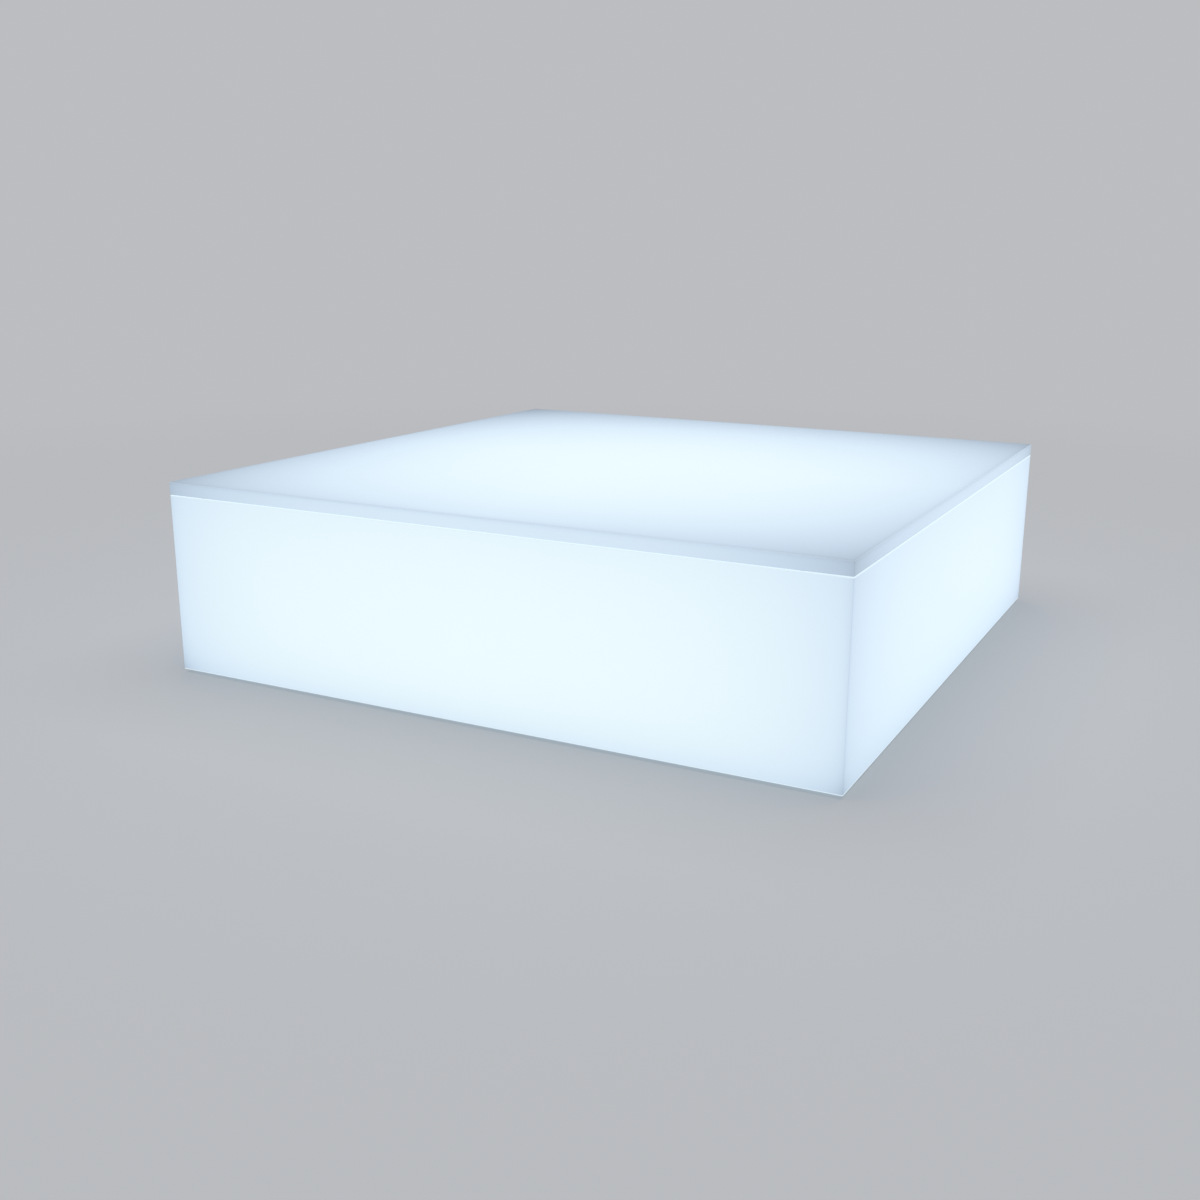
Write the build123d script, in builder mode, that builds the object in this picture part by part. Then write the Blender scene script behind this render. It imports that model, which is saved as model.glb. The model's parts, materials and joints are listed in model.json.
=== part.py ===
from build123d import *
import math
import os

os.makedirs("parts", exist_ok=True)

# LED coffee table: a lit box of opal acrylic with a lift-off lid slab.
# Millimetres. The origin is on the floor under the centre, +Z is up and the front faces -Y.

# Overall size
table_width = 1000.0
table_depth = 1000.0
table_height = 280.0
arris = 1.2

# Lid slab, its bumpers and its locator strips
lid_thickness = 18.0
bumper_thickness = 1.0
bumper_diameter = 8.0
bumper_inset = 60.0
locator_length = 160.0
locator_width = 12.0
locator_height = 8.0
locator_clearance = 1.5

# Walls, base panel and corner rods
wall_thickness = 10.0
wall_turn_angle = 90.0
base_thickness = 10.0
floor_gap = 5.0
rod_side = 12.0
rod_below_wall_top = 20.0

# Levelling feet
foot_inset = 44.0
foot_travel = 10.0
pad_diameter = 40.0
pad_clearance = 0.3
pad_chamfer = 1.2
pad_socket_depth = 3.0
stud_diameter = 10.0
stud_chamfer = 1.0
stud_proud = 2.0
stud_clearance = 0.1
stud_hole_clearance = 1.0
hex_across_flats = 5.0
hex_depth = 6.0
block_side = 40.0
block_engagement = 16.0
block_chamfer = 2.0
block_screw_inset = 7.0

# Screws
pilot_clearance = 0.05
shank_clearance = 0.25
head_clearance = 0.15
countersink_angle = 90.0
key_depth = 1.2
panel_screw_diameter = 4.0
panel_screw_head = 8.0
panel_screw_head_height = 2.6
panel_screw_crown = 0.9
panel_screw_key = 2.5
panel_screw_bite = 8.0
block_screw_diameter = 5.0
block_screw_head = 9.5
block_screw_key = 3.0
block_screw_bite = 12.0
pan_screw_diameter = 3.0
pan_screw_head = 5.5
pan_screw_key = 2.0
pan_screw_bite = 5.0
pilot_spare = 0.5

# LED rows
row_count = 5
row_to_controller = 20.0
rail_width = 26.0
rail_height = 5.0
rail_floor = 2.0
rail_lip = 1.8
board_thickness = 1.6
board_side_clearance = 0.2
board_end_inset = 20.0
lens_pitch = 60.0
lens_end_margin = 28.0
lens_flange_diameter = 14.0
lens_flange_height = 1.2
lens_dome_diameter = 11.0
lens_height = 5.5
lens_dimple_diameter = 3.0
lens_dimple_depth = 1.0
socket_length = 10.0
socket_width = 12.0
socket_height = 9.0

# Wiring
bus_lead_diameter = 5.0
row_lead_diameter = 3.0
panel_lead_diameter = 4.0
lead_clearance = 0.15
bus_to_rail = 22.0
bus_tail = 8.0
tap_width = 16.0
tap_length = 14.0
tap_cover = 3.0
tap_chamfer = 1.0
clip_width = 22.0
clip_length = 8.0
clip_foot = 2.0
clip_wall = 2.0
lead_to_block = 5.0
lead_run = 63.0
lead_straight = 16.0
lead_bend_share = 0.45

# Controller
controller_width = 50.0
controller_length = 70.0
controller_floor = 2.0
controller_wall = 1.5
controller_height = 20.0
controller_ear = 12.0
controller_ear_length = 16.0
controller_lead_clearance = 0.3
controller_edge = 1.5
controller_top_chamfer = 0.75
post_height = 2.0
post_diameter = 5.0
board_wall_gap = 1.5
terminal_width = 40.0
terminal_length = 8.0
terminal_height = 8.0
terminal_inset = 1.0

# Connection pan in the back wall
pan_width = 92.0
pan_height = 40.0
pan_depth = 16.0
pan_skin = 2.0
pan_flange = 9.0
pan_clearance = 0.3
pan_corner = 4.0
pan_above_base = 6.0
pan_screw_inset = 4.5

# Inlet jack
jack_offset = 17.0
jack_flange_diameter = 14.0
jack_flange_height = 2.0
jack_barrel_diameter = 11.0
jack_barrel_length = 14.0
jack_rear_diameter = 9.0
jack_rear_length = 6.0
jack_bore_diameter = 6.0
jack_bore_depth = 10.0
jack_pin_diameter = 2.1
jack_pin_length = 8.0
jack_hole_clearance = 0.2
jack_nut_across_flats = 14.0
jack_nut_height = 2.5

# Rocker switch
switch_offset = 17.0
switch_bezel_width = 21.0
switch_bezel_height = 15.0
switch_bezel_thickness = 2.0
switch_bezel_chamfer = 0.5
switch_body_width = 18.8
switch_body_height = 12.6
switch_body_depth = 16.0
switch_hole_clearance = 0.2
rocker_radius = 7.7
rocker_width = 10.0
rocker_gap = 0.3
rocker_pivot_depth = 1.5
rocker_crown = 2.2
rocker_heel = 3.5
rocker_well_depth = 9.0
rocker_face_angle = 10.0
rocker_rest_angle = 10.0
axle_diameter = 2.4
axle_length = 0.9
axle_clearance = 0.1

# Heights from the floor up
base_top = floor_gap + base_thickness
lid_bottom = table_height - lid_thickness
wall_top = lid_bottom - bumper_thickness
wall_height = wall_top - floor_gap
rail_seat = base_top + rail_floor
board_top = rail_seat + board_thickness
controller_seat = base_top + controller_floor
controller_board_bottom = controller_seat + post_height
controller_board_top = controller_board_bottom + board_thickness
lead_height = controller_board_top + terminal_height / 2

# Plan
inner_width = table_width - 2 * wall_thickness
inner_depth = table_depth - 2 * wall_thickness
foot_x = inner_width / 2 - foot_inset
foot_y = inner_depth / 2 - foot_inset
sides = {
    "front_wall": (0, table_width, table_depth / 2),
    "right_wall": (wall_turn_angle, table_depth, table_width / 2),
    "back_wall": (2 * wall_turn_angle, table_width, table_depth / 2),
    "left_wall": (3 * wall_turn_angle, table_depth, table_width / 2),
}
corners = {
    "front_left": (-1, -1),
    "front_right": (1, -1),
    "back_left": (-1, 1),
    "back_right": (1, 1),
}
foot_spots = [(side_x * foot_x, side_y * foot_y) for side_x, side_y in corners.values()]
block_screw_reach = block_side / 2 - block_screw_inset
block_screw_spots = [
    (x + across * block_screw_reach, y + along * block_screw_reach)
    for x, y in foot_spots
    for across, along in corners.values()
]

# The jack's lead passes beside the foot block, and the pan, controller and bus lead line up with it
jack_x = -(foot_x - block_side / 2 - lead_to_block - panel_lead_diameter / 2)
pan_x = jack_x + jack_offset
switch_x = pan_x + switch_offset
bus_x = pan_x
rail_start = bus_x + bus_to_rail
rail_length = -2 * rail_start
board_length = rail_length - 2 * board_end_inset
board_start = -board_length / 2
board_width = rail_width - 2 * rail_lip - 2 * board_side_clearance

# The pan, and what it holds, from the back wall's outer face inwards
wall_face = table_depth / 2
pan_floor = wall_face - pan_depth + pan_skin
pan_back = wall_face - pan_depth
pan_z = base_top + pan_above_base + pan_height / 2
jack_rear = pan_floor - jack_barrel_length - jack_rear_length
switch_rear = pan_floor - switch_body_depth
pivot_y = pan_floor + switch_bezel_thickness - rocker_pivot_depth

# The controller, and the rows that fit in front of it
controller_back = jack_rear - lead_run
controller_front = controller_back - controller_length
controller_y = (controller_front + controller_back) / 2
controller_board_length = controller_length - 2 * controller_wall - 2 * board_wall_gap
controller_board_width = controller_width - 2 * controller_wall - 2 * board_wall_gap
terminal_y = controller_board_length / 2 - terminal_inset - terminal_length / 2
bus_start = controller_y - terminal_y - terminal_length / 2
panel_lead_end = controller_y + terminal_y + terminal_length / 2
row_limit = controller_front - row_to_controller - rail_width / 2
row_pitch = 2 * row_limit / (row_count - 1)
row_ys = [(i - (row_count - 1) / 2) * row_pitch for i in range(row_count)]
lens_count = int((board_length - 2 * lens_end_margin) / lens_pitch) + 1
lens_xs = [(i - (lens_count - 1) / 2) * lens_pitch for i in range(lens_count)]
rail_screw_x = rail_length / 2 - board_end_inset / 2
clip_ys = [(a + b) / 2 for a, b in zip(row_ys, row_ys[1:])]
ear_x = controller_width / 2 + controller_ear / 2


def facing_back(x, y, z):
    """A plane that looks along +Y, out of the back wall, with its own x along -X."""
    return Plane(origin=(x, y, z), x_dir=(-1, 0, 0), z_dir=(0, 1, 0))


def mitred_wall(turn, length, reach):
    """One wall, mitred at both ends, with the outer corners eased."""
    plan = Plane.XY.offset(floor_gap).rotated((0, 0, turn))
    half = length / 2
    eased = arris / 2
    with BuildPart() as wall:
        with BuildSketch(plan):
            Polygon(
                (-half + arris, -reach),
                (half - arris, -reach),
                (half - eased, -reach + eased),
                (half - wall_thickness, -reach + wall_thickness),
                (-half + wall_thickness, -reach + wall_thickness),
                (-half + eased, -reach + eased),
                align=None,
            )
        extrude(amount=wall_height)
    return wall


def pan_head_screw(clamped):
    """A panel screw with its head's underside at the origin, pointing down."""
    with BuildPart() as screw:
        with BuildSketch():
            Circle(panel_screw_head / 2)
        extrude(amount=panel_screw_head_height)
        fillet(screw.edges().group_by(Axis.Z)[-1], panel_screw_crown)
        with BuildSketch(Plane.XY.offset(panel_screw_head_height)):
            RegularPolygon(panel_screw_key / 2, 6, major_radius=False)
        extrude(amount=-key_depth, mode=Mode.SUBTRACT)
        with BuildSketch():
            Circle(panel_screw_diameter / 2)
        extrude(amount=-clamped - panel_screw_bite)
    return screw


def countersunk_screw(diameter, head, key, length):
    """A flat-head screw with its head's face at the origin, pointing down."""
    cone = (head - diameter) / 2 / math.tan(math.radians(countersink_angle / 2))
    with BuildPart() as screw:
        with BuildSketch(Plane.XZ):
            Polygon(
                (0, 0),
                (head / 2, 0),
                (diameter / 2, -cone),
                (diameter / 2, -length),
                (0, -length),
                align=None,
            )
        revolve(axis=Axis.Z)
        with BuildSketch():
            RegularPolygon(key / 2, 6, major_radius=False)
        extrude(amount=-key_depth, mode=Mode.SUBTRACT)
    return screw


def panel_lead(x, start_y):
    """A lead from the back of the pan down to the controller's rear terminals."""
    points = [
        (x, start_y, pan_z),
        (x, start_y - lead_straight, pan_z),
        (x, controller_back + lead_straight, lead_height),
        (x, panel_lead_end, lead_height),
    ]
    slope = Vector(points[2]) - Vector(points[1])
    turn = slope.get_angle(Vector(0, -1, 0))
    bend = lead_bend_share * lead_straight / math.tan(math.radians(turn / 2))
    print("lead bend radius", round(bend, 1), "for a lead of", panel_lead_diameter)
    with BuildPart() as lead:
        with BuildLine() as route:
            FilletPolyline(*points, radius=bend)
        with BuildSketch(Plane(origin=points[0], z_dir=(0, -1, 0))):
            Circle(panel_lead_diameter / 2)
        sweep(path=route.wire())
    return lead


# Lid slab
with BuildPart() as lid:
    with BuildSketch(Plane.XY.offset(lid_bottom)):
        Rectangle(table_width, table_depth)
    extrude(amount=lid_thickness)
    chamfer(lid.edges().filter_by(Axis.Z), arris)
    chamfer(lid.faces().sort_by(Axis.Z)[-1].edges(), arris)
lid.part.label = "lid"
export_step(lid.part, "parts/lid.step")

# Clear strips bonded under the lid, which drop inside the walls
with BuildPart() as lid_locators:
    with BuildSketch(Plane.XY.offset(lid_bottom)):
        with GridLocations(0, inner_depth - 2 * locator_clearance - locator_width, 1, 2):
            Rectangle(locator_length, locator_width)
        with GridLocations(inner_width - 2 * locator_clearance - locator_width, 0, 2, 1):
            Rectangle(locator_width, locator_length)
    extrude(amount=-locator_height)
lid_locators.part.label = "lid_locators"
export_step(lid_locators.part, "parts/lid_locators.step")

# Clear bumpers on the wall tops, which carry the lid
with BuildPart() as lid_bumpers:
    for turn, length, reach in sides.values():
        with BuildSketch(Plane.XY.offset(wall_top).rotated((0, 0, turn))):
            with Locations((0, wall_thickness / 2 - reach)):
                with GridLocations(length - 2 * bumper_inset, 0, 2, 1):
                    Circle(bumper_diameter / 2)
    extrude(amount=bumper_thickness)
lid_bumpers.part.label = "lid_bumpers"
export_step(lid_bumpers.part, "parts/lid_bumpers.step")

# Plain walls
for name in ("front_wall", "right_wall", "left_wall"):
    plain_wall = mitred_wall(*sides[name])
    plain_wall.part.label = name
    export_step(plain_wall.part, f"parts/{name}.step")

# Back wall, with a window and a rebate for the connection pan
flange_width = pan_width + 2 * pan_flange
flange_height = pan_height + 2 * pan_flange
pan_screws_across = flange_width - 2 * pan_screw_inset
pan_screws_up = flange_height - 2 * pan_screw_inset
back_blank = mitred_wall(*sides["back_wall"])
with BuildPart() as back_wall:
    add(back_blank.part)
    with BuildSketch(facing_back(pan_x, wall_face, pan_z)):
        RectangleRounded(
            flange_width + 2 * pan_clearance, flange_height + 2 * pan_clearance, pan_corner
        )
    extrude(amount=-pan_skin, mode=Mode.SUBTRACT)
    with BuildSketch(facing_back(pan_x, wall_face, pan_z)):
        RectangleRounded(
            pan_width + 2 * pan_clearance, pan_height + 2 * pan_clearance, pan_corner
        )
    extrude(amount=-wall_thickness, mode=Mode.SUBTRACT)
    with BuildSketch(facing_back(pan_x, wall_face - pan_skin, pan_z)):
        with GridLocations(pan_screws_across, pan_screws_up, 2, 2):
            Circle(pan_screw_diameter / 2 + pilot_clearance)
    extrude(amount=-pan_screw_bite - pilot_spare, mode=Mode.SUBTRACT)
back_wall.part.label = "back_wall"
export_step(back_wall.part, "parts/back_wall.step")

# Base panel, drilled for the feet, their blocks, the rails and the controller
panel_screw_spots = [(s * rail_screw_x, y) for y in row_ys for s in (-1, 1)]
ear_spots = [(bus_x + s * ear_x, controller_y) for s in (-1, 1)]
under_base = Plane(origin=(0, 0, floor_gap), z_dir=(0, 0, -1))
with BuildPart() as base_panel:
    with BuildSketch(Plane.XY.offset(floor_gap)):
        Rectangle(inner_width, inner_depth)
        with Locations(*foot_spots):
            Circle(stud_diameter / 2 + stud_hole_clearance, mode=Mode.SUBTRACT)
    extrude(amount=base_thickness)
    with BuildSketch(Plane.XY.offset(base_top)):
        with Locations(*panel_screw_spots, *ear_spots):
            Circle(panel_screw_diameter / 2 + pilot_clearance)
    extrude(amount=-panel_screw_bite - pilot_spare, mode=Mode.SUBTRACT)
    with Locations(under_base):
        with Locations(*block_screw_spots):
            CounterSinkHole(
                block_screw_diameter / 2 + shank_clearance,
                block_screw_head / 2 + head_clearance,
                depth=base_thickness,
                counter_sink_angle=countersink_angle,
            )
base_panel.part.label = "base_panel"
export_step(base_panel.part, "parts/base_panel.step")

# Clear rods bonded inside the vertical corners
for corner, (side_x, side_y) in corners.items():
    rod_x = side_x * (inner_width - rod_side) / 2
    rod_y = side_y * (inner_depth - rod_side) / 2
    with BuildPart() as rod:
        with BuildSketch(Plane.XY.offset(base_top)):
            with Locations((rod_x, rod_y)):
                Rectangle(rod_side, rod_side)
        extrude(amount=wall_top - rod_below_wall_top - base_top)
    rod.part.label = f"corner_rod_{corner}"
    export_step(rod.part, f"parts/corner_rod_{corner}.step")

# One lens, with its seat at the origin
with BuildPart() as one_lens:
    with BuildSketch(Plane.XZ):
        with BuildLine():
            Polyline(
                (0, lens_height - lens_dimple_depth),
                (0, 0),
                (lens_flange_diameter / 2, 0),
                (lens_flange_diameter / 2, lens_flange_height),
                (lens_dome_diameter / 2, lens_flange_height),
            )
            TangentArc(
                (lens_dome_diameter / 2, lens_flange_height),
                (lens_dimple_diameter / 2, lens_height),
                tangent=(0, 1),
            )
            Line(
                (lens_dimple_diameter / 2, lens_height),
                (0, lens_height - lens_dimple_depth),
            )
        make_face()
    revolve(axis=Axis.Z)

# LED rows: a rail, a board and a line of lenses each
for row, row_y in enumerate(row_ys, start=1):
    with BuildPart() as led_rail:
        with BuildSketch(Plane.YZ.offset(rail_start)):
            with Locations((row_y, base_top)):
                Rectangle(rail_width, rail_height, align=(Align.CENTER, Align.MIN))
            with Locations((row_y, rail_seat)):
                Rectangle(
                    rail_width - 2 * rail_lip,
                    rail_height - rail_floor,
                    align=(Align.CENTER, Align.MIN),
                    mode=Mode.SUBTRACT,
                )
        extrude(amount=rail_length)
        with BuildSketch(Plane.XY.offset(rail_seat)):
            with Locations((-rail_screw_x, row_y), (rail_screw_x, row_y)):
                Circle(panel_screw_diameter / 2 + shank_clearance)
        extrude(amount=-rail_floor, mode=Mode.SUBTRACT)
    led_rail.part.label = f"led_rail_{row}"
    export_step(led_rail.part, f"parts/led_rail_{row}.step")

    with BuildPart() as led_board:
        with BuildSketch(Plane.XY.offset(rail_seat)):
            with Locations((0, row_y)):
                Rectangle(board_length, board_width)
        extrude(amount=board_thickness)
    led_board.part.label = f"led_board_{row}"
    export_step(led_board.part, f"parts/led_board_{row}.step")

    with BuildPart() as led_lenses:
        with Locations(*[(x, row_y, board_top) for x in lens_xs]):
            add(one_lens.part)
    led_lenses.part.label = f"led_lenses_{row}"
    export_step(led_lenses.part, f"parts/led_lenses_{row}.step")

# Sockets on the boards' left ends
with BuildPart() as board_sockets:
    with BuildSketch(Plane.XY.offset(board_top)):
        with Locations(*[(board_start + socket_length / 2, y) for y in row_ys]):
            Rectangle(socket_length, socket_width)
    extrude(amount=socket_height)
board_sockets.part.label = "board_sockets"
export_step(board_sockets.part, "parts/board_sockets.step")

# Bus lead along the left ends of the rows
bus_end = row_ys[0] - tap_length / 2 - bus_tail
with BuildPart() as bus_lead:
    with BuildSketch(Plane.XZ.offset(-bus_start)):
        with Locations((bus_x, lead_height)):
            Circle(bus_lead_diameter / 2)
    extrude(amount=bus_start - bus_end)
bus_lead.part.label = "bus_lead"
export_step(bus_lead.part, "parts/bus_lead.step")

# A tap on the bus lead beside each row
bus_bore = bus_lead_diameter / 2 + lead_clearance
tap_height = lead_height + bus_lead_diameter / 2 + tap_cover - base_top
with BuildPart() as lead_taps:
    for row_y in row_ys:
        with BuildSketch(Plane.XZ.offset(-row_y)):
            with Locations((bus_x, base_top)):
                Rectangle(tap_width, tap_height, align=(Align.CENTER, Align.MIN))
            with Locations((bus_x, lead_height)):
                Circle(bus_bore, mode=Mode.SUBTRACT)
    extrude(amount=tap_length / 2, both=True)
    chamfer(lead_taps.edges().filter_by(Axis.Y).group_by(Axis.Z)[-1], tap_chamfer)
lead_taps.part.label = "lead_taps"
export_step(lead_taps.part, "parts/lead_taps.step")

# A short lead from each tap to its board's socket
tap_face = bus_x + tap_width / 2
with BuildPart() as row_leads:
    with BuildSketch(Plane.YZ.offset(tap_face)):
        with Locations(*[(y, lead_height) for y in row_ys]):
            Circle(row_lead_diameter / 2)
    extrude(amount=board_start - tap_face)
row_leads.part.label = "row_leads"
export_step(row_leads.part, "parts/row_leads.step")

# Saddle clips between the taps
with BuildPart() as lead_clips:
    for clip_y in clip_ys:
        with BuildSketch(Plane.XZ.offset(-clip_y)):
            with Locations((bus_x, base_top)):
                Rectangle(clip_width, clip_foot, align=(Align.CENTER, Align.MIN))
                Rectangle(
                    2 * (bus_bore + clip_wall),
                    lead_height - base_top,
                    align=(Align.CENTER, Align.MIN),
                )
            with Locations((bus_x, lead_height)):
                Circle(bus_bore + clip_wall)
                Circle(bus_bore, mode=Mode.SUBTRACT)
    extrude(amount=clip_length / 2, both=True)
lead_clips.part.label = "lead_clips"
export_step(lead_clips.part, "parts/lead_clips.step")

# Controller base, with an ear each side and posts for the board
post_x = controller_board_width / 2 - post_diameter / 2
post_y = controller_board_length / 2 - post_diameter / 2
with BuildPart() as controller_base:
    with BuildSketch(Plane.XY.offset(base_top)):
        with Locations((bus_x, controller_y)):
            Rectangle(controller_width, controller_length)
            Rectangle(controller_width + 2 * controller_ear, controller_ear_length)
        with Locations(*ear_spots):
            Circle(panel_screw_diameter / 2 + shank_clearance, mode=Mode.SUBTRACT)
    extrude(amount=controller_floor)
    with BuildSketch(Plane.XY.offset(controller_seat)):
        with Locations((bus_x, controller_y)):
            with GridLocations(2 * post_x, 2 * post_y, 2, 2):
                Circle(post_diameter / 2)
    extrude(amount=post_height)
controller_base.part.label = "controller_base"
export_step(controller_base.part, "parts/controller_base.step")

# Controller board on the posts
with BuildPart() as controller_board:
    with BuildSketch(Plane.XY.offset(controller_board_bottom)):
        with Locations((bus_x, controller_y)):
            Rectangle(controller_board_width, controller_board_length)
    extrude(amount=board_thickness)
controller_board.part.label = "controller_board"
export_step(controller_board.part, "parts/controller_board.step")

# Terminal strips at the board's two ends
with BuildPart() as controller_terminals:
    with BuildSketch(Plane.XY.offset(controller_board_top)):
        with Locations((bus_x, controller_y)):
            with GridLocations(0, 2 * terminal_y, 1, 2):
                Rectangle(terminal_width, terminal_length)
    extrude(amount=terminal_height)
controller_terminals.part.label = "controller_terminals"
export_step(controller_terminals.part, "parts/controller_terminals.step")

# Controller cover, open below, with a hole for each lead
with BuildPart() as controller_cover:
    with BuildSketch(Plane.XY.offset(controller_seat)):
        with Locations((bus_x, controller_y)):
            Rectangle(controller_width, controller_length)
    extrude(amount=controller_height)
    fillet(controller_cover.edges().filter_by(Axis.Z), controller_edge)
    chamfer(controller_cover.faces().sort_by(Axis.Z)[-1].edges(), controller_top_chamfer)
    with BuildSketch(Plane.XY.offset(controller_seat)):
        with Locations((bus_x, controller_y)):
            Rectangle(
                controller_width - 2 * controller_wall, controller_length - 2 * controller_wall
            )
    extrude(amount=controller_height - controller_wall, mode=Mode.SUBTRACT)
    with BuildSketch(Plane.XZ.offset(-controller_front)):
        with Locations((bus_x, lead_height)):
            Circle(bus_lead_diameter / 2 + controller_lead_clearance)
    extrude(amount=-controller_wall, mode=Mode.SUBTRACT)
    with BuildSketch(Plane.XZ.offset(-controller_back)):
        with Locations((jack_x, lead_height), (switch_x, lead_height)):
            Circle(panel_lead_diameter / 2 + controller_lead_clearance)
    extrude(amount=controller_wall, mode=Mode.SUBTRACT)
controller_cover.part.label = "controller_cover"
export_step(controller_cover.part, "parts/controller_cover.step")

# Screws that hold the rails and the controller's ears to the base panel
rail_screw = pan_head_screw(rail_floor)
ear_screw = pan_head_screw(controller_floor)
with BuildPart() as panel_screws:
    with Locations(*[(x, y, rail_seat) for x, y in panel_screw_spots]):
        add(rail_screw.part)
    with Locations(*[(x, y, controller_seat) for x, y in ear_spots]):
        add(ear_screw.part)
panel_screws.part.label = "panel_screws"
export_step(panel_screws.part, "parts/panel_screws.step")

# Connection pan: a flush flange round a tray that holds the jack and the switch
with BuildPart() as connection_pan:
    with BuildSketch(facing_back(pan_x, wall_face, pan_z)):
        RectangleRounded(flange_width, flange_height, pan_corner)
    extrude(amount=-pan_skin)
    with BuildSketch(facing_back(pan_x, wall_face, pan_z)):
        RectangleRounded(pan_width, pan_height, pan_corner)
    extrude(amount=-pan_depth)
    with BuildSketch(facing_back(pan_x, wall_face, pan_z)):
        RectangleRounded(
            pan_width - 2 * pan_skin, pan_height - 2 * pan_skin, pan_corner - pan_skin
        )
    extrude(amount=pan_skin - pan_depth, mode=Mode.SUBTRACT)
    with BuildSketch(facing_back(jack_x, pan_floor, pan_z)):
        Circle(jack_barrel_diameter / 2 + jack_hole_clearance)
    extrude(amount=-pan_skin, mode=Mode.SUBTRACT)
    with BuildSketch(facing_back(switch_x, pan_floor, pan_z)):
        Rectangle(
            switch_body_width + 2 * switch_hole_clearance,
            switch_body_height + 2 * switch_hole_clearance,
        )
    extrude(amount=-pan_skin, mode=Mode.SUBTRACT)
    with Locations(facing_back(pan_x, wall_face, pan_z)):
        with GridLocations(pan_screws_across, pan_screws_up, 2, 2):
            CounterSinkHole(
                pan_screw_diameter / 2 + shank_clearance,
                pan_screw_head / 2 + head_clearance,
                depth=pan_skin,
                counter_sink_angle=countersink_angle,
            )
connection_pan.part.label = "connection_pan"
export_step(connection_pan.part, "parts/connection_pan.step")

# Screws at the pan's corners
pan_screw = countersunk_screw(
    pan_screw_diameter, pan_screw_head, pan_screw_key, pan_skin + pan_screw_bite
)
with BuildPart() as pan_screws:
    with Locations(facing_back(pan_x, wall_face, pan_z)):
        with GridLocations(pan_screws_across, pan_screws_up, 2, 2):
            add(pan_screw.part)
pan_screws.part.label = "pan_screws"
export_step(pan_screws.part, "parts/pan_screws.step")

# Inlet jack: flange, threaded barrel and rear body, with a centre pin in its bore
jack_mouth = pan_floor + jack_flange_height
with BuildPart() as inlet_jack:
    with BuildSketch(facing_back(jack_x, pan_floor, pan_z)):
        Circle(jack_flange_diameter / 2)
    extrude(amount=jack_flange_height)
    with BuildSketch(facing_back(jack_x, pan_floor, pan_z)):
        Circle(jack_barrel_diameter / 2)
    extrude(amount=-jack_barrel_length)
    with BuildSketch(facing_back(jack_x, pan_floor, pan_z)):
        Circle(jack_rear_diameter / 2)
    extrude(amount=-jack_barrel_length - jack_rear_length)
    with BuildSketch(facing_back(jack_x, jack_mouth, pan_z)):
        Circle(jack_bore_diameter / 2)
    extrude(amount=-jack_bore_depth, mode=Mode.SUBTRACT)
    with BuildSketch(facing_back(jack_x, jack_mouth - jack_bore_depth, pan_z)):
        Circle(jack_pin_diameter / 2)
    extrude(amount=jack_pin_length)
inlet_jack.part.label = "inlet_jack"
export_step(inlet_jack.part, "parts/inlet_jack.step")

# Nut behind the pan that clamps the jack
with BuildPart() as inlet_nut:
    with BuildSketch(facing_back(jack_x, pan_back, pan_z)):
        RegularPolygon(jack_nut_across_flats / 2, 6, major_radius=False)
        Circle(jack_barrel_diameter / 2 + pilot_clearance, mode=Mode.SUBTRACT)
    extrude(amount=-jack_nut_height)
inlet_nut.part.label = "inlet_nut"
export_step(inlet_nut.part, "parts/inlet_nut.step")

# Switch housing: bezel, body and a well with axle sockets for the rocker
bezel_face = pan_floor + switch_bezel_thickness
well_half_width = rocker_radius + rocker_gap
well_half_height = rocker_width / 2 + rocker_gap
pivot_plane = Plane(origin=(switch_x, pivot_y, pan_z), z_dir=(0, 0, 1))
with BuildPart() as switch_housing:
    with BuildSketch(facing_back(switch_x, pan_floor, pan_z)):
        Rectangle(switch_bezel_width, switch_bezel_height)
    extrude(amount=switch_bezel_thickness)
    chamfer(switch_housing.faces().sort_by(Axis.Y)[-1].edges(), switch_bezel_chamfer)
    with BuildSketch(facing_back(switch_x, pan_floor, pan_z)):
        Rectangle(switch_body_width, switch_body_height)
    extrude(amount=-switch_body_depth)
    with BuildSketch(facing_back(switch_x, bezel_face, pan_z)):
        Rectangle(2 * well_half_width, 2 * well_half_height)
    extrude(amount=-rocker_well_depth, mode=Mode.SUBTRACT)
    with BuildSketch(pivot_plane):
        Circle(axle_diameter / 2 + axle_clearance)
    extrude(
        amount=rocker_width / 2 + axle_length + axle_clearance,
        both=True,
        mode=Mode.SUBTRACT,
    )
switch_housing.part.label = "switch_housing"
export_step(switch_housing.part, "parts/switch_housing.step")

# Rocker on its two axle stubs, at rest in the on position
face_rise = rocker_radius * math.tan(math.radians(rocker_face_angle))
rocker_plane = pivot_plane.rotated((0, 0, -rocker_rest_angle))
with BuildPart() as switch_rocker:
    with BuildSketch(rocker_plane):
        Circle(rocker_radius)
        Polygon(
            (-rocker_radius, -rocker_heel),
            (rocker_radius, -rocker_heel),
            (rocker_radius, rocker_crown + face_rise),
            (0, rocker_crown),
            (-rocker_radius, rocker_crown + face_rise),
            align=None,
            mode=Mode.INTERSECT,
        )
    extrude(amount=rocker_width / 2, both=True)
    with BuildSketch(rocker_plane):
        Circle(axle_diameter / 2)
    extrude(amount=rocker_width / 2 + axle_length, both=True)
switch_rocker.part.label = "switch_rocker"
export_step(switch_rocker.part, "parts/switch_rocker.step")

# Leads from the jack and the switch to the controller
inlet_lead = panel_lead(jack_x, jack_rear)
inlet_lead.part.label = "inlet_lead"
export_step(inlet_lead.part, "parts/inlet_lead.step")
switch_lead = panel_lead(switch_x, switch_rear)
switch_lead.part.label = "switch_lead"
export_step(switch_lead.part, "parts/switch_lead.step")

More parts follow.
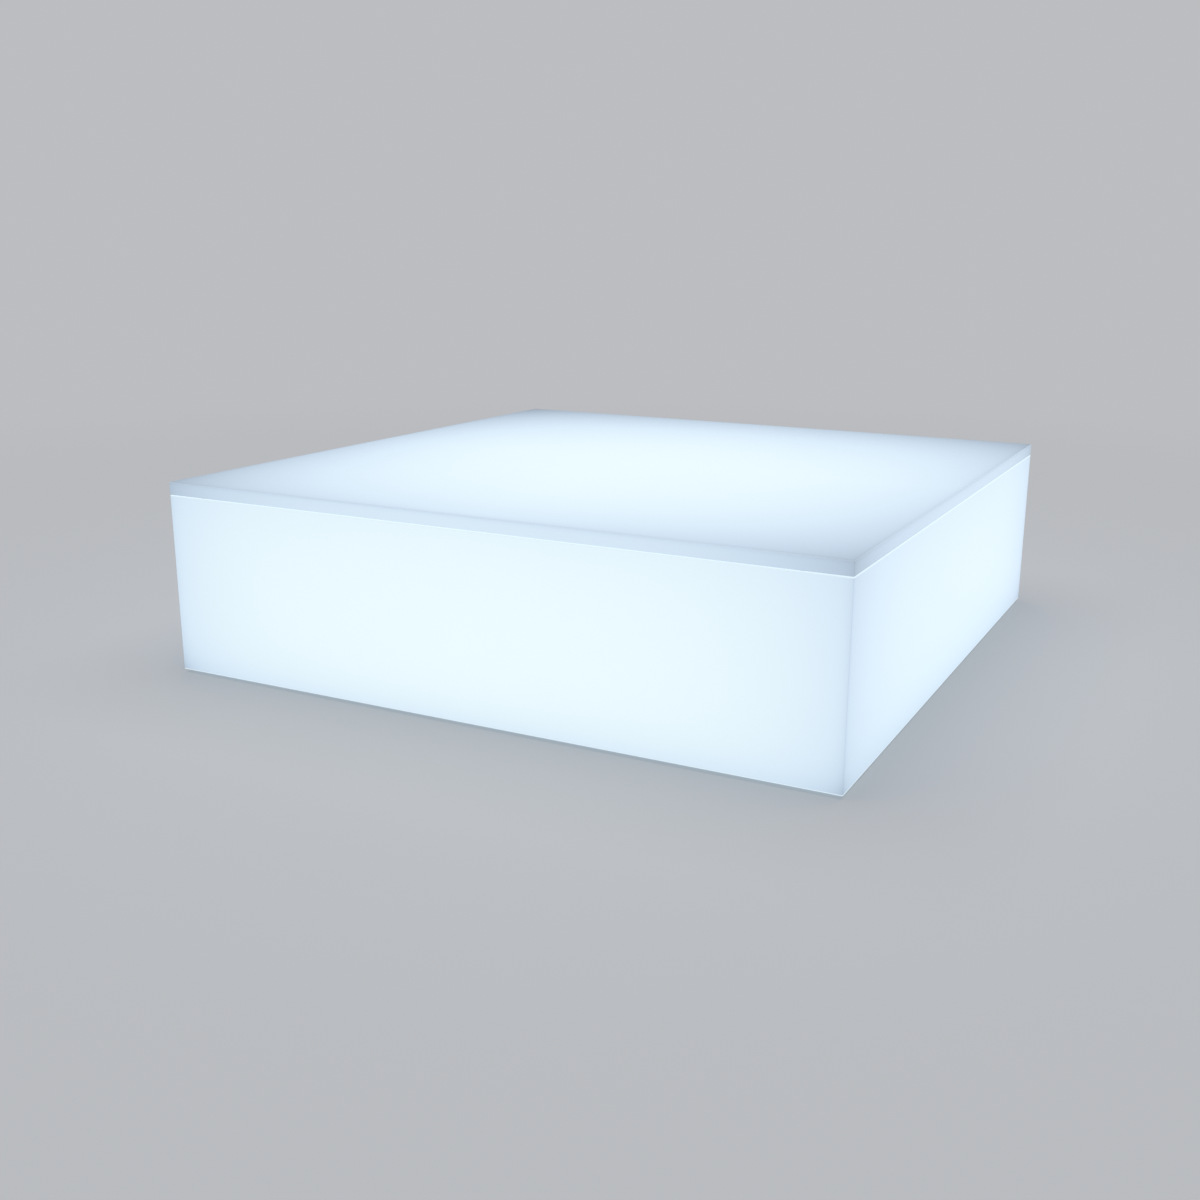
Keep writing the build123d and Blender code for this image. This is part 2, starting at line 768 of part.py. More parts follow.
# Feet: a block inside the base panel, and a pad and a stud that screw up and down in it
pad_top = floor_gap - pad_clearance
stud_bottom = pad_top - pad_socket_depth
block_height = foot_travel + block_engagement
stud_top = base_top + block_height + stud_proud
for corner, (side_x, side_y) in corners.items():
    centre = (side_x * foot_x, side_y * foot_y)
    with BuildPart() as foot_block:
        with BuildSketch(Plane.XY.offset(base_top)):
            with Locations(centre):
                Rectangle(block_side, block_side)
        extrude(amount=block_height)
        chamfer(foot_block.faces().sort_by(Axis.Z)[-1].edges(), block_chamfer)
        with BuildSketch(Plane.XY.offset(base_top)):
            with Locations(centre):
                Circle(stud_diameter / 2 + stud_clearance)
        extrude(amount=block_height, mode=Mode.SUBTRACT)
        with BuildSketch(Plane.XY.offset(base_top)):
            with Locations(centre):
                with GridLocations(2 * block_screw_reach, 2 * block_screw_reach, 2, 2):
                    Circle(block_screw_diameter / 2 + pilot_clearance)
        extrude(amount=block_screw_bite + pilot_spare, mode=Mode.SUBTRACT)
    foot_block.part.label = f"foot_block_{corner}"
    export_step(foot_block.part, f"parts/foot_block_{corner}.step")

    with BuildPart() as foot_pad:
        with BuildSketch():
            with Locations(centre):
                Circle(pad_diameter / 2)
        extrude(amount=pad_top)
        chamfer(foot_pad.edges().group_by(Axis.Z)[-1], pad_chamfer)
        with BuildSketch(Plane.XY.offset(pad_top)):
            with Locations(centre):
                Circle(stud_diameter / 2 + stud_clearance)
        extrude(amount=-pad_socket_depth, mode=Mode.SUBTRACT)
    foot_pad.part.label = f"foot_pad_{corner}"
    export_step(foot_pad.part, f"parts/foot_pad_{corner}.step")

    with BuildPart() as foot_stud:
        with BuildSketch(Plane.XY.offset(stud_bottom)):
            with Locations(centre):
                Circle(stud_diameter / 2)
        extrude(amount=stud_top - stud_bottom)
        chamfer(foot_stud.edges().group_by(Axis.Z)[-1], stud_chamfer)
        with BuildSketch(Plane.XY.offset(stud_top)):
            with Locations(centre):
                RegularPolygon(hex_across_flats / 2, 6, major_radius=False)
        extrude(amount=-hex_depth, mode=Mode.SUBTRACT)
    foot_stud.part.label = f"foot_stud_{corner}"
    export_step(foot_stud.part, f"parts/foot_stud_{corner}.step")

# Flat-head screws that hold the foot blocks from below
block_screw = countersunk_screw(
    block_screw_diameter, block_screw_head, block_screw_key, base_thickness + block_screw_bite
)
with BuildPart() as foot_block_screws:
    with Locations(under_base):
        with Locations(*block_screw_spots):
            add(block_screw.part)
foot_block_screws.part.label = "foot_block_screws"
export_step(foot_block_screws.part, "parts/foot_block_screws.step")
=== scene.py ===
import json
import math

import bpy
from mathutils import Matrix, Quaternion, Vector

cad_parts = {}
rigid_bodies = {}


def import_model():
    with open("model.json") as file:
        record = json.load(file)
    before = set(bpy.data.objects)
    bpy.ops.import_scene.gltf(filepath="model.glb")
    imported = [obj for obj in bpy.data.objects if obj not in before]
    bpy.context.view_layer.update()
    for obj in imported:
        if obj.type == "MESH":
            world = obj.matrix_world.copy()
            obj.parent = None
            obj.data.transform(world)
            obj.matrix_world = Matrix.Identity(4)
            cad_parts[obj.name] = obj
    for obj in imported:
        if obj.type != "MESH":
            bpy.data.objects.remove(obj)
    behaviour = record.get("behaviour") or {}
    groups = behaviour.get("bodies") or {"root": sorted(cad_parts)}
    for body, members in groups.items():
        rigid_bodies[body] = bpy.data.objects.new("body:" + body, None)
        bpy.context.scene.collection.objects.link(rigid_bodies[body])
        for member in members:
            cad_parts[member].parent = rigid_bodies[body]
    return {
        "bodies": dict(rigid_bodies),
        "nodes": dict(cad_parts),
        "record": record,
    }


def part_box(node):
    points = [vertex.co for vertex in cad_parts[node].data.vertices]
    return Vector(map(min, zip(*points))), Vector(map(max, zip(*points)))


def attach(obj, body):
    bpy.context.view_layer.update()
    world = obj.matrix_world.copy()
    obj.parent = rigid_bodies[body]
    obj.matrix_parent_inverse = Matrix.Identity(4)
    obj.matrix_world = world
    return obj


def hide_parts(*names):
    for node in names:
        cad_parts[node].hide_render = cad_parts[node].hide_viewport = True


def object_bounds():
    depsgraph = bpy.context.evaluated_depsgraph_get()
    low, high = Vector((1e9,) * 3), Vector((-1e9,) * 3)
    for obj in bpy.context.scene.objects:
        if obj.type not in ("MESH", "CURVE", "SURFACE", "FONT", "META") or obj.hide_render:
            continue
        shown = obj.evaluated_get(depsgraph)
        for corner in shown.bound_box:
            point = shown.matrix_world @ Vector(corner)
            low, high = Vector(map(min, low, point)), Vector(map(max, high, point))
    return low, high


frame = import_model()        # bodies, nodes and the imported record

# LED coffee table: a lit box of opal acrylic with a lift-off lid slab. Metres, +Z up, front at -Y.
cad_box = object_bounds()
nodes = frame["nodes"]


def middle(node):
    """The middle of a node's box."""
    low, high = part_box(node)
    return (low + high) / 2


def numbered(start):
    """The nodes of one kind that are counted from 1, in order."""
    return sorted(name for name in nodes if name.startswith(start))


# Table sizes, read from the frame
table_high = cad_box[1]
half_width = table_high.x
half_depth = table_high.y
table_height = table_high.z
wall_low, wall_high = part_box("front_wall")
wall_thickness = wall_high.y - wall_low.y
lid_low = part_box("lid")[0]
base_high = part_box("base_panel")[1]
corners = sorted(name.removeprefix("stud_") for name in frame["bodies"] if name.startswith("stud_"))

# The acrylic's eased edges: their width, and the parts of it that tell one face from the next
arris = 0.0012
arris_start = arris * 0.05
arris_end = arris * 0.95
cut_end = arris * 0.9
lid_underside = arris * 0.1

# LED rows, read from the frame, but for the lenses' pitch and the radius of their domes
row_ys = [middle(name).y for name in numbered("led_rail_")]
row_pitch = row_ys[1] - row_ys[0]
led_rows = (len(row_ys), row_pitch)
board_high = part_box("led_board_1")[1]
rail_low, rail_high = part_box("led_rail_1")
rail_half_width = (rail_high.y - rail_low.y) / 2
lens_low, lens_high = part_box("led_lenses_1")
lens_flange = (lens_high.y - lens_low.y) / 2
lens_dome = 0.0055
lens_pitch = 0.06
lens_gaps = round((lens_high.x - lens_low.x - 2 * lens_flange) / lens_pitch)
first_lens_x = lens_low.x + lens_flange

# Camera, matched to the photograph
camera_place = Vector((0.9136, -1.858, 0.609))
camera_azimuth = math.radians(-26.335)
camera_drop = math.radians(15.001)
camera_roll = math.radians(0.553)
camera_lens = 39.85
camera_shift = -0.03375

# Studio
floor_drop = 0.0001
floor_radius = 30.0
floor_corners = 64
floor_fade_start = 0.9
floor_fade_end = 3.6
floor_colour = (0.5, 0.51, 0.53)
backdrop_colour = (0.5, 0.51, 0.53)
sky_colour = (0.97, 0.985, 1.0)
sky_strength = 0.5
lamp_height = 6.0
lamp_side = 9.0
lamp_watts = 310.0

# Shared by many pieces
nought = (0.0, 0.0, 0.0)
crease_angle = math.radians(32)


class Signal:
    """A node socket that takes part in Python sums."""

    def __init__(self, socket):
        self.socket = socket
        self.tree = socket.id_data

    def __add__(self, other):
        return maths(self.tree, "ADD", self, other)

    def __radd__(self, other):
        return maths(self.tree, "ADD", other, self)

    def __sub__(self, other):
        return maths(self.tree, "SUBTRACT", self, other)

    def __rsub__(self, other):
        return maths(self.tree, "SUBTRACT", other, self)

    def __mul__(self, other):
        return maths(self.tree, "MULTIPLY", self, other)

    def __rmul__(self, other):
        return maths(self.tree, "MULTIPLY", other, self)

    def __truediv__(self, other):
        return maths(self.tree, "DIVIDE", self, other)

    def __rtruediv__(self, other):
        return maths(self.tree, "DIVIDE", other, self)

    def __neg__(self):
        return maths(self.tree, "MULTIPLY", self, -1.0)

    def __abs__(self):
        return maths(self.tree, "ABSOLUTE", self)

    def __pow__(self, other):
        return maths(self.tree, "POWER", self, other)

    def __gt__(self, other):
        return maths(self.tree, "GREATER_THAN", self, other)

    def __lt__(self, other):
        return maths(self.tree, "LESS_THAN", self, other)


def put(value, socket):
    """Links a signal, or each signal of a list, to a socket, or writes a plain value on it."""
    if isinstance(value, Signal):
        socket.id_data.links.new(value.socket, socket)
    elif isinstance(value, list):
        for signal in value:
            put(signal, socket)
    elif isinstance(value, tuple) and len(value) == 3 and socket.type == "RGBA":
        socket.default_value = (*value, 1.0)
    else:
        socket.default_value = value


def maths(tree, operation, *values):
    """One Math node."""
    node = tree.nodes.new("ShaderNodeMath")
    node.operation = operation
    for value, socket in zip(values, node.inputs):
        put(value, socket)
    return Signal(node.outputs[0])


def fade(signal, length):
    """Falls from 1 at zero to nothing, by a factor e over each length."""
    return maths(signal.tree, "EXPONENT", signal * (-1.0 / length))


def smallest(first, second):
    return maths(first.tree, "MINIMUM", first, second)


def largest(first, second):
    return maths(first.tree, "MAXIMUM", first, second)


def to_nearest(signal, pitch):
    """The distance to the nearest whole number of pitches."""
    return maths(signal.tree, "PINGPONG", signal, pitch / 2)


class Tree:
    """A node tree that takes any node by its type, its settings, and the values or links of its sockets."""

    def __init__(self, tree):
        self.tree = tree

    def node(self, kind, settings=None, sockets=None):
        node = self.tree.nodes.new(kind)
        for key, value in (settings or {}).items():
            setattr(node, key, value)
        for key, value in (sockets or {}).items():
            put(value, node.inputs[key])
        return node

    def signal(self, kind, settings=None, sockets=None, output=0):
        """One output of such a node."""
        return Signal(self.node(kind, settings, sockets).outputs[output])

    def apart(self, vector):
        """The x, y and z of a vector."""
        outputs = self.node("ShaderNodeSeparateXYZ", sockets={0: vector}).outputs
        return [Signal(socket) for socket in outputs]

    def together(self, x, y, z):
        return self.signal("ShaderNodeCombineXYZ", sockets={0: x, 1: y, 2: z})


class Finish(Tree):
    """One material, whose shader is a Principled BSDF unless it is told otherwise."""

    def __init__(self, name):
        self.material = bpy.data.materials.new(name)
        self.material.use_nodes = True
        super().__init__(self.material.node_tree)
        self.tree.nodes.clear()

    def place(self):
        """The point's x, y and z on its own piece, in metres."""
        return self.apart(self.signal("ShaderNodeTexCoord", output="Object"))

    def noise(self, scale, detail=2.0, stretch=(1.0, 1.0, 1.0)):
        """Soft noise from 0 to 1, with about `scale` features to the metre."""
        point = self.signal("ShaderNodeTexCoord", output="Object")
        point = self.signal("ShaderNodeMapping", sockets={"Vector": point, "Scale": stretch})
        sockets = {"Vector": point, "Scale": scale, "Detail": detail}
        return self.signal("ShaderNodeTexNoise", sockets=sockets)

    def mix(self, factor, first, second):
        """A colour between two colours."""
        return self.signal("ShaderNodeMix", {"data_type": "RGBA"}, {0: factor, 6: first, 7: second}, 2)

    def vector(self, operation, first, second):
        """One Vector Math node, for colours and vectors."""
        sockets = {0: first, "Scale" if operation == "SCALE" else 1: second}
        return self.signal("ShaderNodeVectorMath", {"operation": operation}, sockets)

    def bump(self, height, distance):
        return self.signal("ShaderNodeBump", sockets={"Height": height, "Distance": distance})

    def surface(self, **sockets):
        """The Principled shader, with its sockets given by name, an underscore for each space."""
        named = {key.replace("_", " "): value for key, value in sockets.items()}
        return self.show(self.signal("ShaderNodeBsdfPrincipled", sockets=named))

    def show(self, shader):
        self.node("ShaderNodeOutputMaterial", sockets={"Surface": shader})
        return self.material


# Opal acrylic: the share of the studio's light that it sends back, and how brightly it is lit
opal_base = (0.31, 0.325, 0.335)
joint_base = (0.11, 0.12, 0.13)
opal_peak = 0.925
opal_limit = (1.0, 1.0, 0.995)
opal_edge_tint = (0.808, 1.0, 1.215)
opal_core_tint = (0.868, 1.0, 1.052)
opal_tint_power = 5.5
opal_clouding = 0.012
acrylic_ior = 1.49

# Painted light: the front, furthest from the controller and its leads, is painted to glow a little more
# than the other sides, shading as seen from the front
painted_front_gain = 1.04
painted_side_gain = 0.955

# Shares of the studio's full light that reach each face
share_above = 1.0
share_beside = 0.55
share_inside = 1.15
share_below = 0.38
share_joint = 0.65

# Levels of the lid's top, its edge band and its eased rim, of the joint and of the base panel
lid_level = 1.01
band_level = 0.85
rim_level = 0.66
joint_level = 0.96
base_level = 0.76
underside_level = 0.93

# Losses of light near edges: the share lost at the edge itself, and the length over which it falls
# Painted shade: the lid's left and back edges, the far ones from the front, are painted dimmer than its
# right and front edges
lid_left_loss = (0.2842, 0.088)
lid_right_loss = (0.143, 0.09)
lid_front_loss = (0.14, 0.088)
lid_back_loss = (0.35, 0.145)
lid_corner_loss = (0.245, 0.3)
lid_rim_loss = (0.11, 0.005)
band_end_loss = (0.3176, 0.12)
band_corner_loss = (0.08, 0.008)
band_top_loss = (0.15, 0.0022)
rim_end_loss = (0.303, 0.08)
wall_end_loss = (0.147, 0.105)
wall_corner_loss = (0.09, 0.006)
wall_top_loss = (0.055, 0.06)
wall_foot_loss = (0.125, 0.03)
wall_foot_corner_loss = (0.24, 0.02)

# Light on the base panel: the gain along the rows, and the losses at its edges and under the rails
pool_gain = 0.18
pool_reach = 0.035
base_edge_dim = 0.1
base_edge_reach = 0.05
rail_shade = 0.05
rail_shade_reach = 0.01


def dimmed(level, *losses):
    """A level less what is lost near edges. Each loss comes with the distance that it depends on."""
    for distance, (share, length) in losses:
        level = level * (1.0 - fade(distance, length) * share)
    return level


def blend(mask, first, second):
    """The first value where the mask is 0, and the second where it is 1."""
    return mask * (second - first) + first


def painted_facing_gain(finish):
    """The painted gain in glow of the side that a point of a wall or of the lid's edge belongs to, brighter
    on the front.
    """
    x, y, _ = finish.place()
    return blend(-y > abs(x), painted_side_gain, painted_front_gain)


def opal_glow(finish, level, share, base):
    """The emitted colour that, with the studio's light, shows as this level of the lit opal."""
    tint = finish.mix(level**opal_tint_power, opal_edge_tint, opal_core_tint)
    shown = finish.vector("SCALE", tint, level * opal_peak)
    shown = finish.vector("MINIMUM", shown, opal_limit)
    studio = finish.vector("SCALE", base, share)
    glow = finish.vector("SUBTRACT", shown, studio)
    return finish.vector("MAXIMUM", glow, nought)


def opal_surface(finish, level, share, base=opal_base):
    """Polished opal acrylic: nearly even, with faint cloudiness, soft waves and uneven polish."""
    cloud = finish.noise(7.0, 3.0)
    polish = finish.noise(38.0, 4.0)
    waves = finish.noise(5.0, 1.0)
    level = level * (1.0 + (cloud - 0.5) * opal_clouding)
    return finish.surface(
        Base_Color=base,
        Roughness=blend(polish, 0.2, 0.28),
        IOR=acrylic_ior,
        Specular_IOR_Level=0.2,
        Emission_Color=opal_glow(finish, level, share, base),
        Emission_Strength=1.0,
        Normal=finish.bump(waves, 0.0006),
    )


def opal_lid():
    """The lid slab: brightest at mid face, dimmer to the edges and corners, with a dim edge band."""
    finish = Finish("opal_lid")
    x, y, z = finish.place()
    left, right = half_width + x, half_width - x
    front, back = half_depth + y, half_depth - y
    across, along = smallest(left, right), smallest(front, back)
    near, far = smallest(across, along), largest(across, along)
    # Painted shade: the left and back edges are dimmed more than the right and front
    top = dimmed(
        lid_level,
        (left, lid_left_loss),
        (right, lid_right_loss),
        (front, lid_front_loss),
        (back, lid_back_loss),
        (across + along, lid_corner_loss),
        (near, lid_rim_loss),
    )
    # Painted light: the band's glow is painted a little stronger on the front than on the other sides
    band = dimmed(
        painted_facing_gain(finish) * band_level,
        (far, band_end_loss),
        (far, band_corner_loss),
        (table_height - z, band_top_loss),
    )
    rim = dimmed(rim_level, (far, rim_end_loss))
    beside = near < arris_end
    eased = (near > arris_start) * (z > table_height - arris_end)
    level = blend(beside, top, blend(eased, band, rim))
    below = z < lid_low.z + lid_underside
    share = blend(below, blend(beside, share_above, share_beside), share_inside)
    return opal_surface(finish, level, share)


def opal_wall():
    """The walls: bright at mid face, dimmer to the corners and downwards, bright at both cut ends."""
    finish = Finish("opal_wall")
    x, y, z = finish.place()
    across, along = half_width - abs(x), half_depth - abs(y)
    near, far = smallest(across, along), largest(across, along)
    up, down = z - wall_low.z, wall_high.z - z
    inside = near > wall_thickness / 2
    # Painted light: the front wall's outer face is painted to glow a little more than the other walls
    level = dimmed(
        blend(inside, painted_facing_gain(finish), painted_side_gain),
        (far, wall_end_loss),
        (far, wall_corner_loss),
        (down, wall_top_loss),
        (up, wall_foot_loss),
        (far + up, wall_foot_corner_loss),
    )
    joint = smallest(up, down) < cut_end
    share = blend(joint, blend(inside, share_beside, share_inside), share_joint)
    base = finish.mix(joint, opal_base, joint_base)
    return opal_surface(finish, blend(joint, level, joint_level), share, base)


def opal_base_panel():
    """The base panel: pools of light along the LED rows, and a lit underside with the rails' shade."""
    finish = Finish("opal_base")
    x, y, z = finish.place()
    edge = smallest(half_width - abs(x), half_depth - abs(y))
    beside_row = largest(to_nearest(y, row_pitch), abs(y) - row_ys[-1])
    beyond_row = largest(abs(x) - board_high.x, 0.0)
    pool = fade(beside_row + beyond_row, pool_reach)
    level = base_level + pool * pool_gain - fade(edge, base_edge_reach) * base_edge_dim
    beside_rail = largest(beside_row - rail_half_width, 0.0)
    underside = underside_level - fade(beside_rail + beyond_row, rail_shade_reach) * rail_shade
    below = z < base_high.z - arris
    level = blend(below, level, underside)
    return opal_surface(finish, level, blend(below, share_inside, share_below))


def clear_acrylic():
    """Clear cast acrylic that carries the walls' light: faint haze and fine draw lines."""
    finish = Finish("clear_acrylic")
    haze = finish.noise(45.0, 3.0)
    lines = finish.noise(900.0, 2.0, (1.0, 1.0, 0.02))
    carried = finish.mix(haze, (0.05, 0.06, 0.07), (0.09, 0.1, 0.11))
    return finish.surface(
        Base_Color=finish.mix(haze, (0.86, 0.93, 0.97), (0.93, 0.98, 1.0)),
        Roughness=blend(haze, 0.03, 0.08),
        IOR=acrylic_ior,
        Transmission_Weight=0.85,
        Emission_Color=carried,
        Emission_Strength=1.0,
        Normal=finish.bump(lines, 0.00002),
    )


def clear_silicone():
    """Clear silicone bumpers, lit by the joint that they sit in."""
    finish = Finish("clear_silicone")
    haze = finish.noise(700.0, 3.0)
    carried = finish.mix(haze, (0.47, 0.57, 0.65), (0.53, 0.62, 0.7))
    return finish.surface(
        Base_Color=finish.mix(haze, (0.27, 0.3, 0.32), (0.31, 0.33, 0.35)),
        Roughness=blend(haze, 0.28, 0.43),
        IOR=1.41,
        Emission_Color=carried,
        Emission_Strength=1.0,
        Normal=finish.bump(haze, 0.00003),
    )


def rail_aluminium():
    """Natural anodised aluminium with the extrusion's fine lines along the rail."""
    finish = Finish("rail_aluminium")
    lines = finish.noise(2600.0, 3.0, (0.004, 1.0, 1.0))
    cloud = finish.noise(24.0, 3.0)
    tone = finish.mix(lines, (0.6, 0.61, 0.63), (0.74, 0.75, 0.77))
    return finish.surface(
        Base_Color=finish.mix(cloud * 0.4, tone, (0.68, 0.7, 0.74)),
        Metallic=1.0,
        Roughness=blend(lines, 0.3, 0.44),
        Normal=finish.bump(lines, 0.00002),
    )


def beside_lens(finish):
    """Distances along and across to the nearest lens's middle, and the height."""
    x, y, z = finish.place()
    return to_nearest(abs(x) + lens_pitch / 2, lens_pitch), to_nearest(y, row_pitch), z


# Tracks on the LED boards: how far they lie from the lens's middle, and half their widths
supply_aside = 0.0082
supply_half_width = 0.0011
chain_half_width = 0.0013
pad_ahead = 0.0102
pad_half_length = 0.0019
pad_half_width = 0.0034
mask_depth = 0.0001


def white_board():
    """White solder mask over raised tracks and lens pads, on an aluminium core."""
    finish = Finish("white_board")
    along, across, z = beside_lens(finish)
    supply = abs(across - supply_aside) < supply_half_width
    chain = (across < chain_half_width) * (along > lens_flange)
    pads = (across < pad_half_width) * (abs(along - pad_ahead) < pad_half_length)
    tracks = largest(largest(supply, chain), pads)
    speck = finish.noise(1400.0, 3.0)
    mask = finish.mix(tracks, (0.74, 0.76, 0.76), (0.85, 0.85, 0.82))
    mask = finish.mix(speck * 0.3, mask, (0.74, 0.75, 0.75))
    core = z < board_high.z - mask_depth
    return finish.surface(
        Base_Color=finish.mix(core, mask, (0.62, 0.62, 0.63)),
        Metallic=core,
        Roughness=blend(core, blend(speck, 0.3, 0.42), 0.42),
        Normal=finish.bump(tracks + speck * 0.05, 0.00006),
    )


# The light seen in a lens: its ground tone, its bright core, its ring and its flange
lens_tone = 0.35
core_gain = 0.6
core_reach = 0.0022
ring_gain = 0.25
ring_radius = 0.0038
ring_reach = 0.0005
flange_tone = 0.2
flange_inner = lens_dome * 1.02


def lit_lens():
    """A clear lens over its lit chip: a bright core and a ring, dimmer on the flange."""
    finish = Finish("lit_lens")
    along, across, _ = beside_lens(finish)
    out = maths(finish.tree, "SQRT", along * along + across * across)
    core = fade(out, core_reach)
    ring = fade(abs(out - ring_radius), ring_reach)
    flange = out > flange_inner
    level = blend(flange, lens_tone + core * core_gain + ring * ring_gain, flange_tone)
    haze = finish.noise(1100.0, 2.0)
    return finish.surface(
        Base_Color=finish.mix(haze, (0.16, 0.19, 0.22), (0.2, 0.23, 0.26)),
        Roughness=blend(haze, 0.05, 0.1),
        IOR=acrylic_ior,
        Emission_Color=finish.mix(level, (0.24, 0.36, 0.48), (0.9, 0.93, 0.9)),
        Emission_Strength=1.0,
        Normal=finish.bump(haze, 0.00001),
    )


# Tracks and pads on the controller's board: pitches, half widths, and the noise above which they show
track_pitch = 0.0024
track_half_width = 0.00035
track_shown = 0.45
cross_pitch = 0.0048
cross_half_width = 0.0003
cross_shown = 0.55
tinned_pitch = (0.005, 0.0096)
tinned_half_width = 0.0008


def green_board():
    """Green solder mask over fine tracks, with tinned pads."""
    finish = Finish("green_board")
    x, y, _ = finish.place()
    track = (to_nearest(x, track_pitch) < track_half_width) * (finish.noise(160.0, 1.0) > track_shown)
    cross = (to_nearest(y, cross_pitch) < cross_half_width) * (finish.noise(120.0, 1.0) > cross_shown)
    tinned_x, tinned_y = to_nearest(x, tinned_pitch[0]), to_nearest(y, tinned_pitch[1])
    pad = (tinned_x < tinned_half_width) * (tinned_y < tinned_half_width)
    tracks = largest(track, cross)
    mask = finish.mix(tracks, (0.015, 0.13, 0.05), (0.04, 0.26, 0.1))
    return finish.surface(
        Base_Color=finish.mix(pad, mask, (0.7, 0.69, 0.66)),
        Metallic=pad,
        Roughness=blend(finish.noise(900.0), 0.28, 0.4),
        Normal=finish.bump(largest(tracks, pad), 0.00005),
    )


def moulded(name, dark, light, roughness, grain, depth):
    """Moulded plastic: a fine spark-eroded skin with slight mottling and flow marks."""
    finish = Finish(name)
    skin = finish.noise(grain, 4.0)
    flow = finish.noise(26.0, 3.0, (1.0, 1.0, 0.4))
    return finish.surface(
        Base_Color=finish.mix(flow * 0.7 + skin * 0.3, dark, light),
        Roughness=roughness + flow * 0.06 + skin * 0.08,
        IOR=1.5,
        Normal=finish.bump(skin, depth),
    )


def white_lead():
    """White cable sheath: slightly soft and uneven, with a satin gloss."""
    finish = Finish("white_lead")
    wander = finish.noise(70.0, 3.0)
    speck = finish.noise(1800.0, 2.0)
    return finish.surface(
        Base_Color=finish.mix(wander, (0.68, 0.7, 0.71), (0.78, 0.79, 0.78)),
        Roughness=blend(speck, 0.38, 0.52),
        Sheen_Weight=0.1,
        Normal=finish.bump(wander + speck * 0.15, 0.00012),
    )


def zinc_steel():
    """Bright zinc on steel: blue and straw patches in the passivation, and fine drawing marks."""
    finish = Finish("zinc_steel")
    patches = finish.noise(140.0, 3.0)
    marks = finish.noise(2400.0, 3.0, (1.0, 1.0, 0.15))
    tone = finish.mix(patches, (0.58, 0.62, 0.68), (0.72, 0.7, 0.62))
    return finish.surface(
        Base_Color=finish.mix(marks * 0.3, tone, (0.75, 0.76, 0.77)),
        Metallic=1.0,
        Roughness=blend(marks, 0.22, 0.38),
        Normal=finish.bump(marks, 0.000015),
    )


def nickel():
    """Nickel plate, with faint turning marks and a little wear."""
    finish = Finish("nickel")
    wear = finish.noise(320.0, 4.0)
    marks = finish.noise(3200.0, 2.0, (1.0, 0.1, 1.0))
    return finish.surface(
        Base_Color=finish.mix(wear, (0.64, 0.62, 0.57), (0.76, 0.74, 0.69)),
        Metallic=1.0,
        Roughness=blend(wear, 0.12, 0.26),
        Normal=finish.bump(marks, 0.00001),
    )


# Moulded plastics: the darker and the lighter tone, the roughness, the grain to the metre, its depth
plastics = {
    "terminal_green": ((0.035, 0.25, 0.09), (0.05, 0.31, 0.12), 0.36, 2600.0, 0.00003),
    "white_nylon": ((0.7, 0.71, 0.68), (0.79, 0.79, 0.76), 0.4, 1500.0, 0.00004),
    "white_case": ((0.7, 0.71, 0.71), (0.77, 0.78, 0.78), 0.45, 2200.0, 0.00006),
    "grey_pad": ((0.035, 0.036, 0.039), (0.06, 0.061, 0.065), 0.5, 1800.0, 0.00007),
    "pan_plastic": ((0.66, 0.68, 0.7), (0.73, 0.75, 0.77), 0.42, 2000.0, 0.00005),
    "black_plastic": ((0.014, 0.014, 0.016), (0.026, 0.026, 0.029), 0.32, 2400.0, 0.00003),
}

finishes = {
    "opal_lid": opal_lid(),
    "opal_wall": opal_wall(),
    "opal_base": opal_base_panel(),
    "clear_acrylic": clear_acrylic(),
    "clear_silicone": clear_silicone(),
    "rail_aluminium": rail_aluminium(),
    "white_board": white_board(),
    "lit_lens": lit_lens(),
    "green_board": green_board(),
    "white_lead": white_lead(),
    "zinc_steel": zinc_steel(),
    "nickel": nickel(),
    **{name: moulded(name, *look) for name, look in plastics.items()},
}
for part in frame["record"]["subparts"]:
    mesh = nodes[part["node"]].data
    mesh.materials.clear()
    mesh.materials.append(finishes[part["material_slot"]])


def keep(name, mesh, body, slot, *replaced):
    """A finished piece, which rides on its body and may stand for CAD nodes."""
    if not mesh.materials:
        mesh.materials.append(finishes[slot])
    mesh.shade_smooth()
    mesh.set_sharp_from_angle(angle=crease_angle)
    piece = bpy.data.objects.new(name, mesh)
    bpy.context.scene.collection.objects.link(piece)
    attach(piece, body)
    if replaced:
        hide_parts(*replaced)
    return piece


def ease(piece, width):
    """Rounds a piece's crisp edges."""
    bevel = piece.modifiers.new("eased_edges", "BEVEL")
    bevel.width = width
    bevel.segments = 2
    bevel.limit_method = "ANGLE"


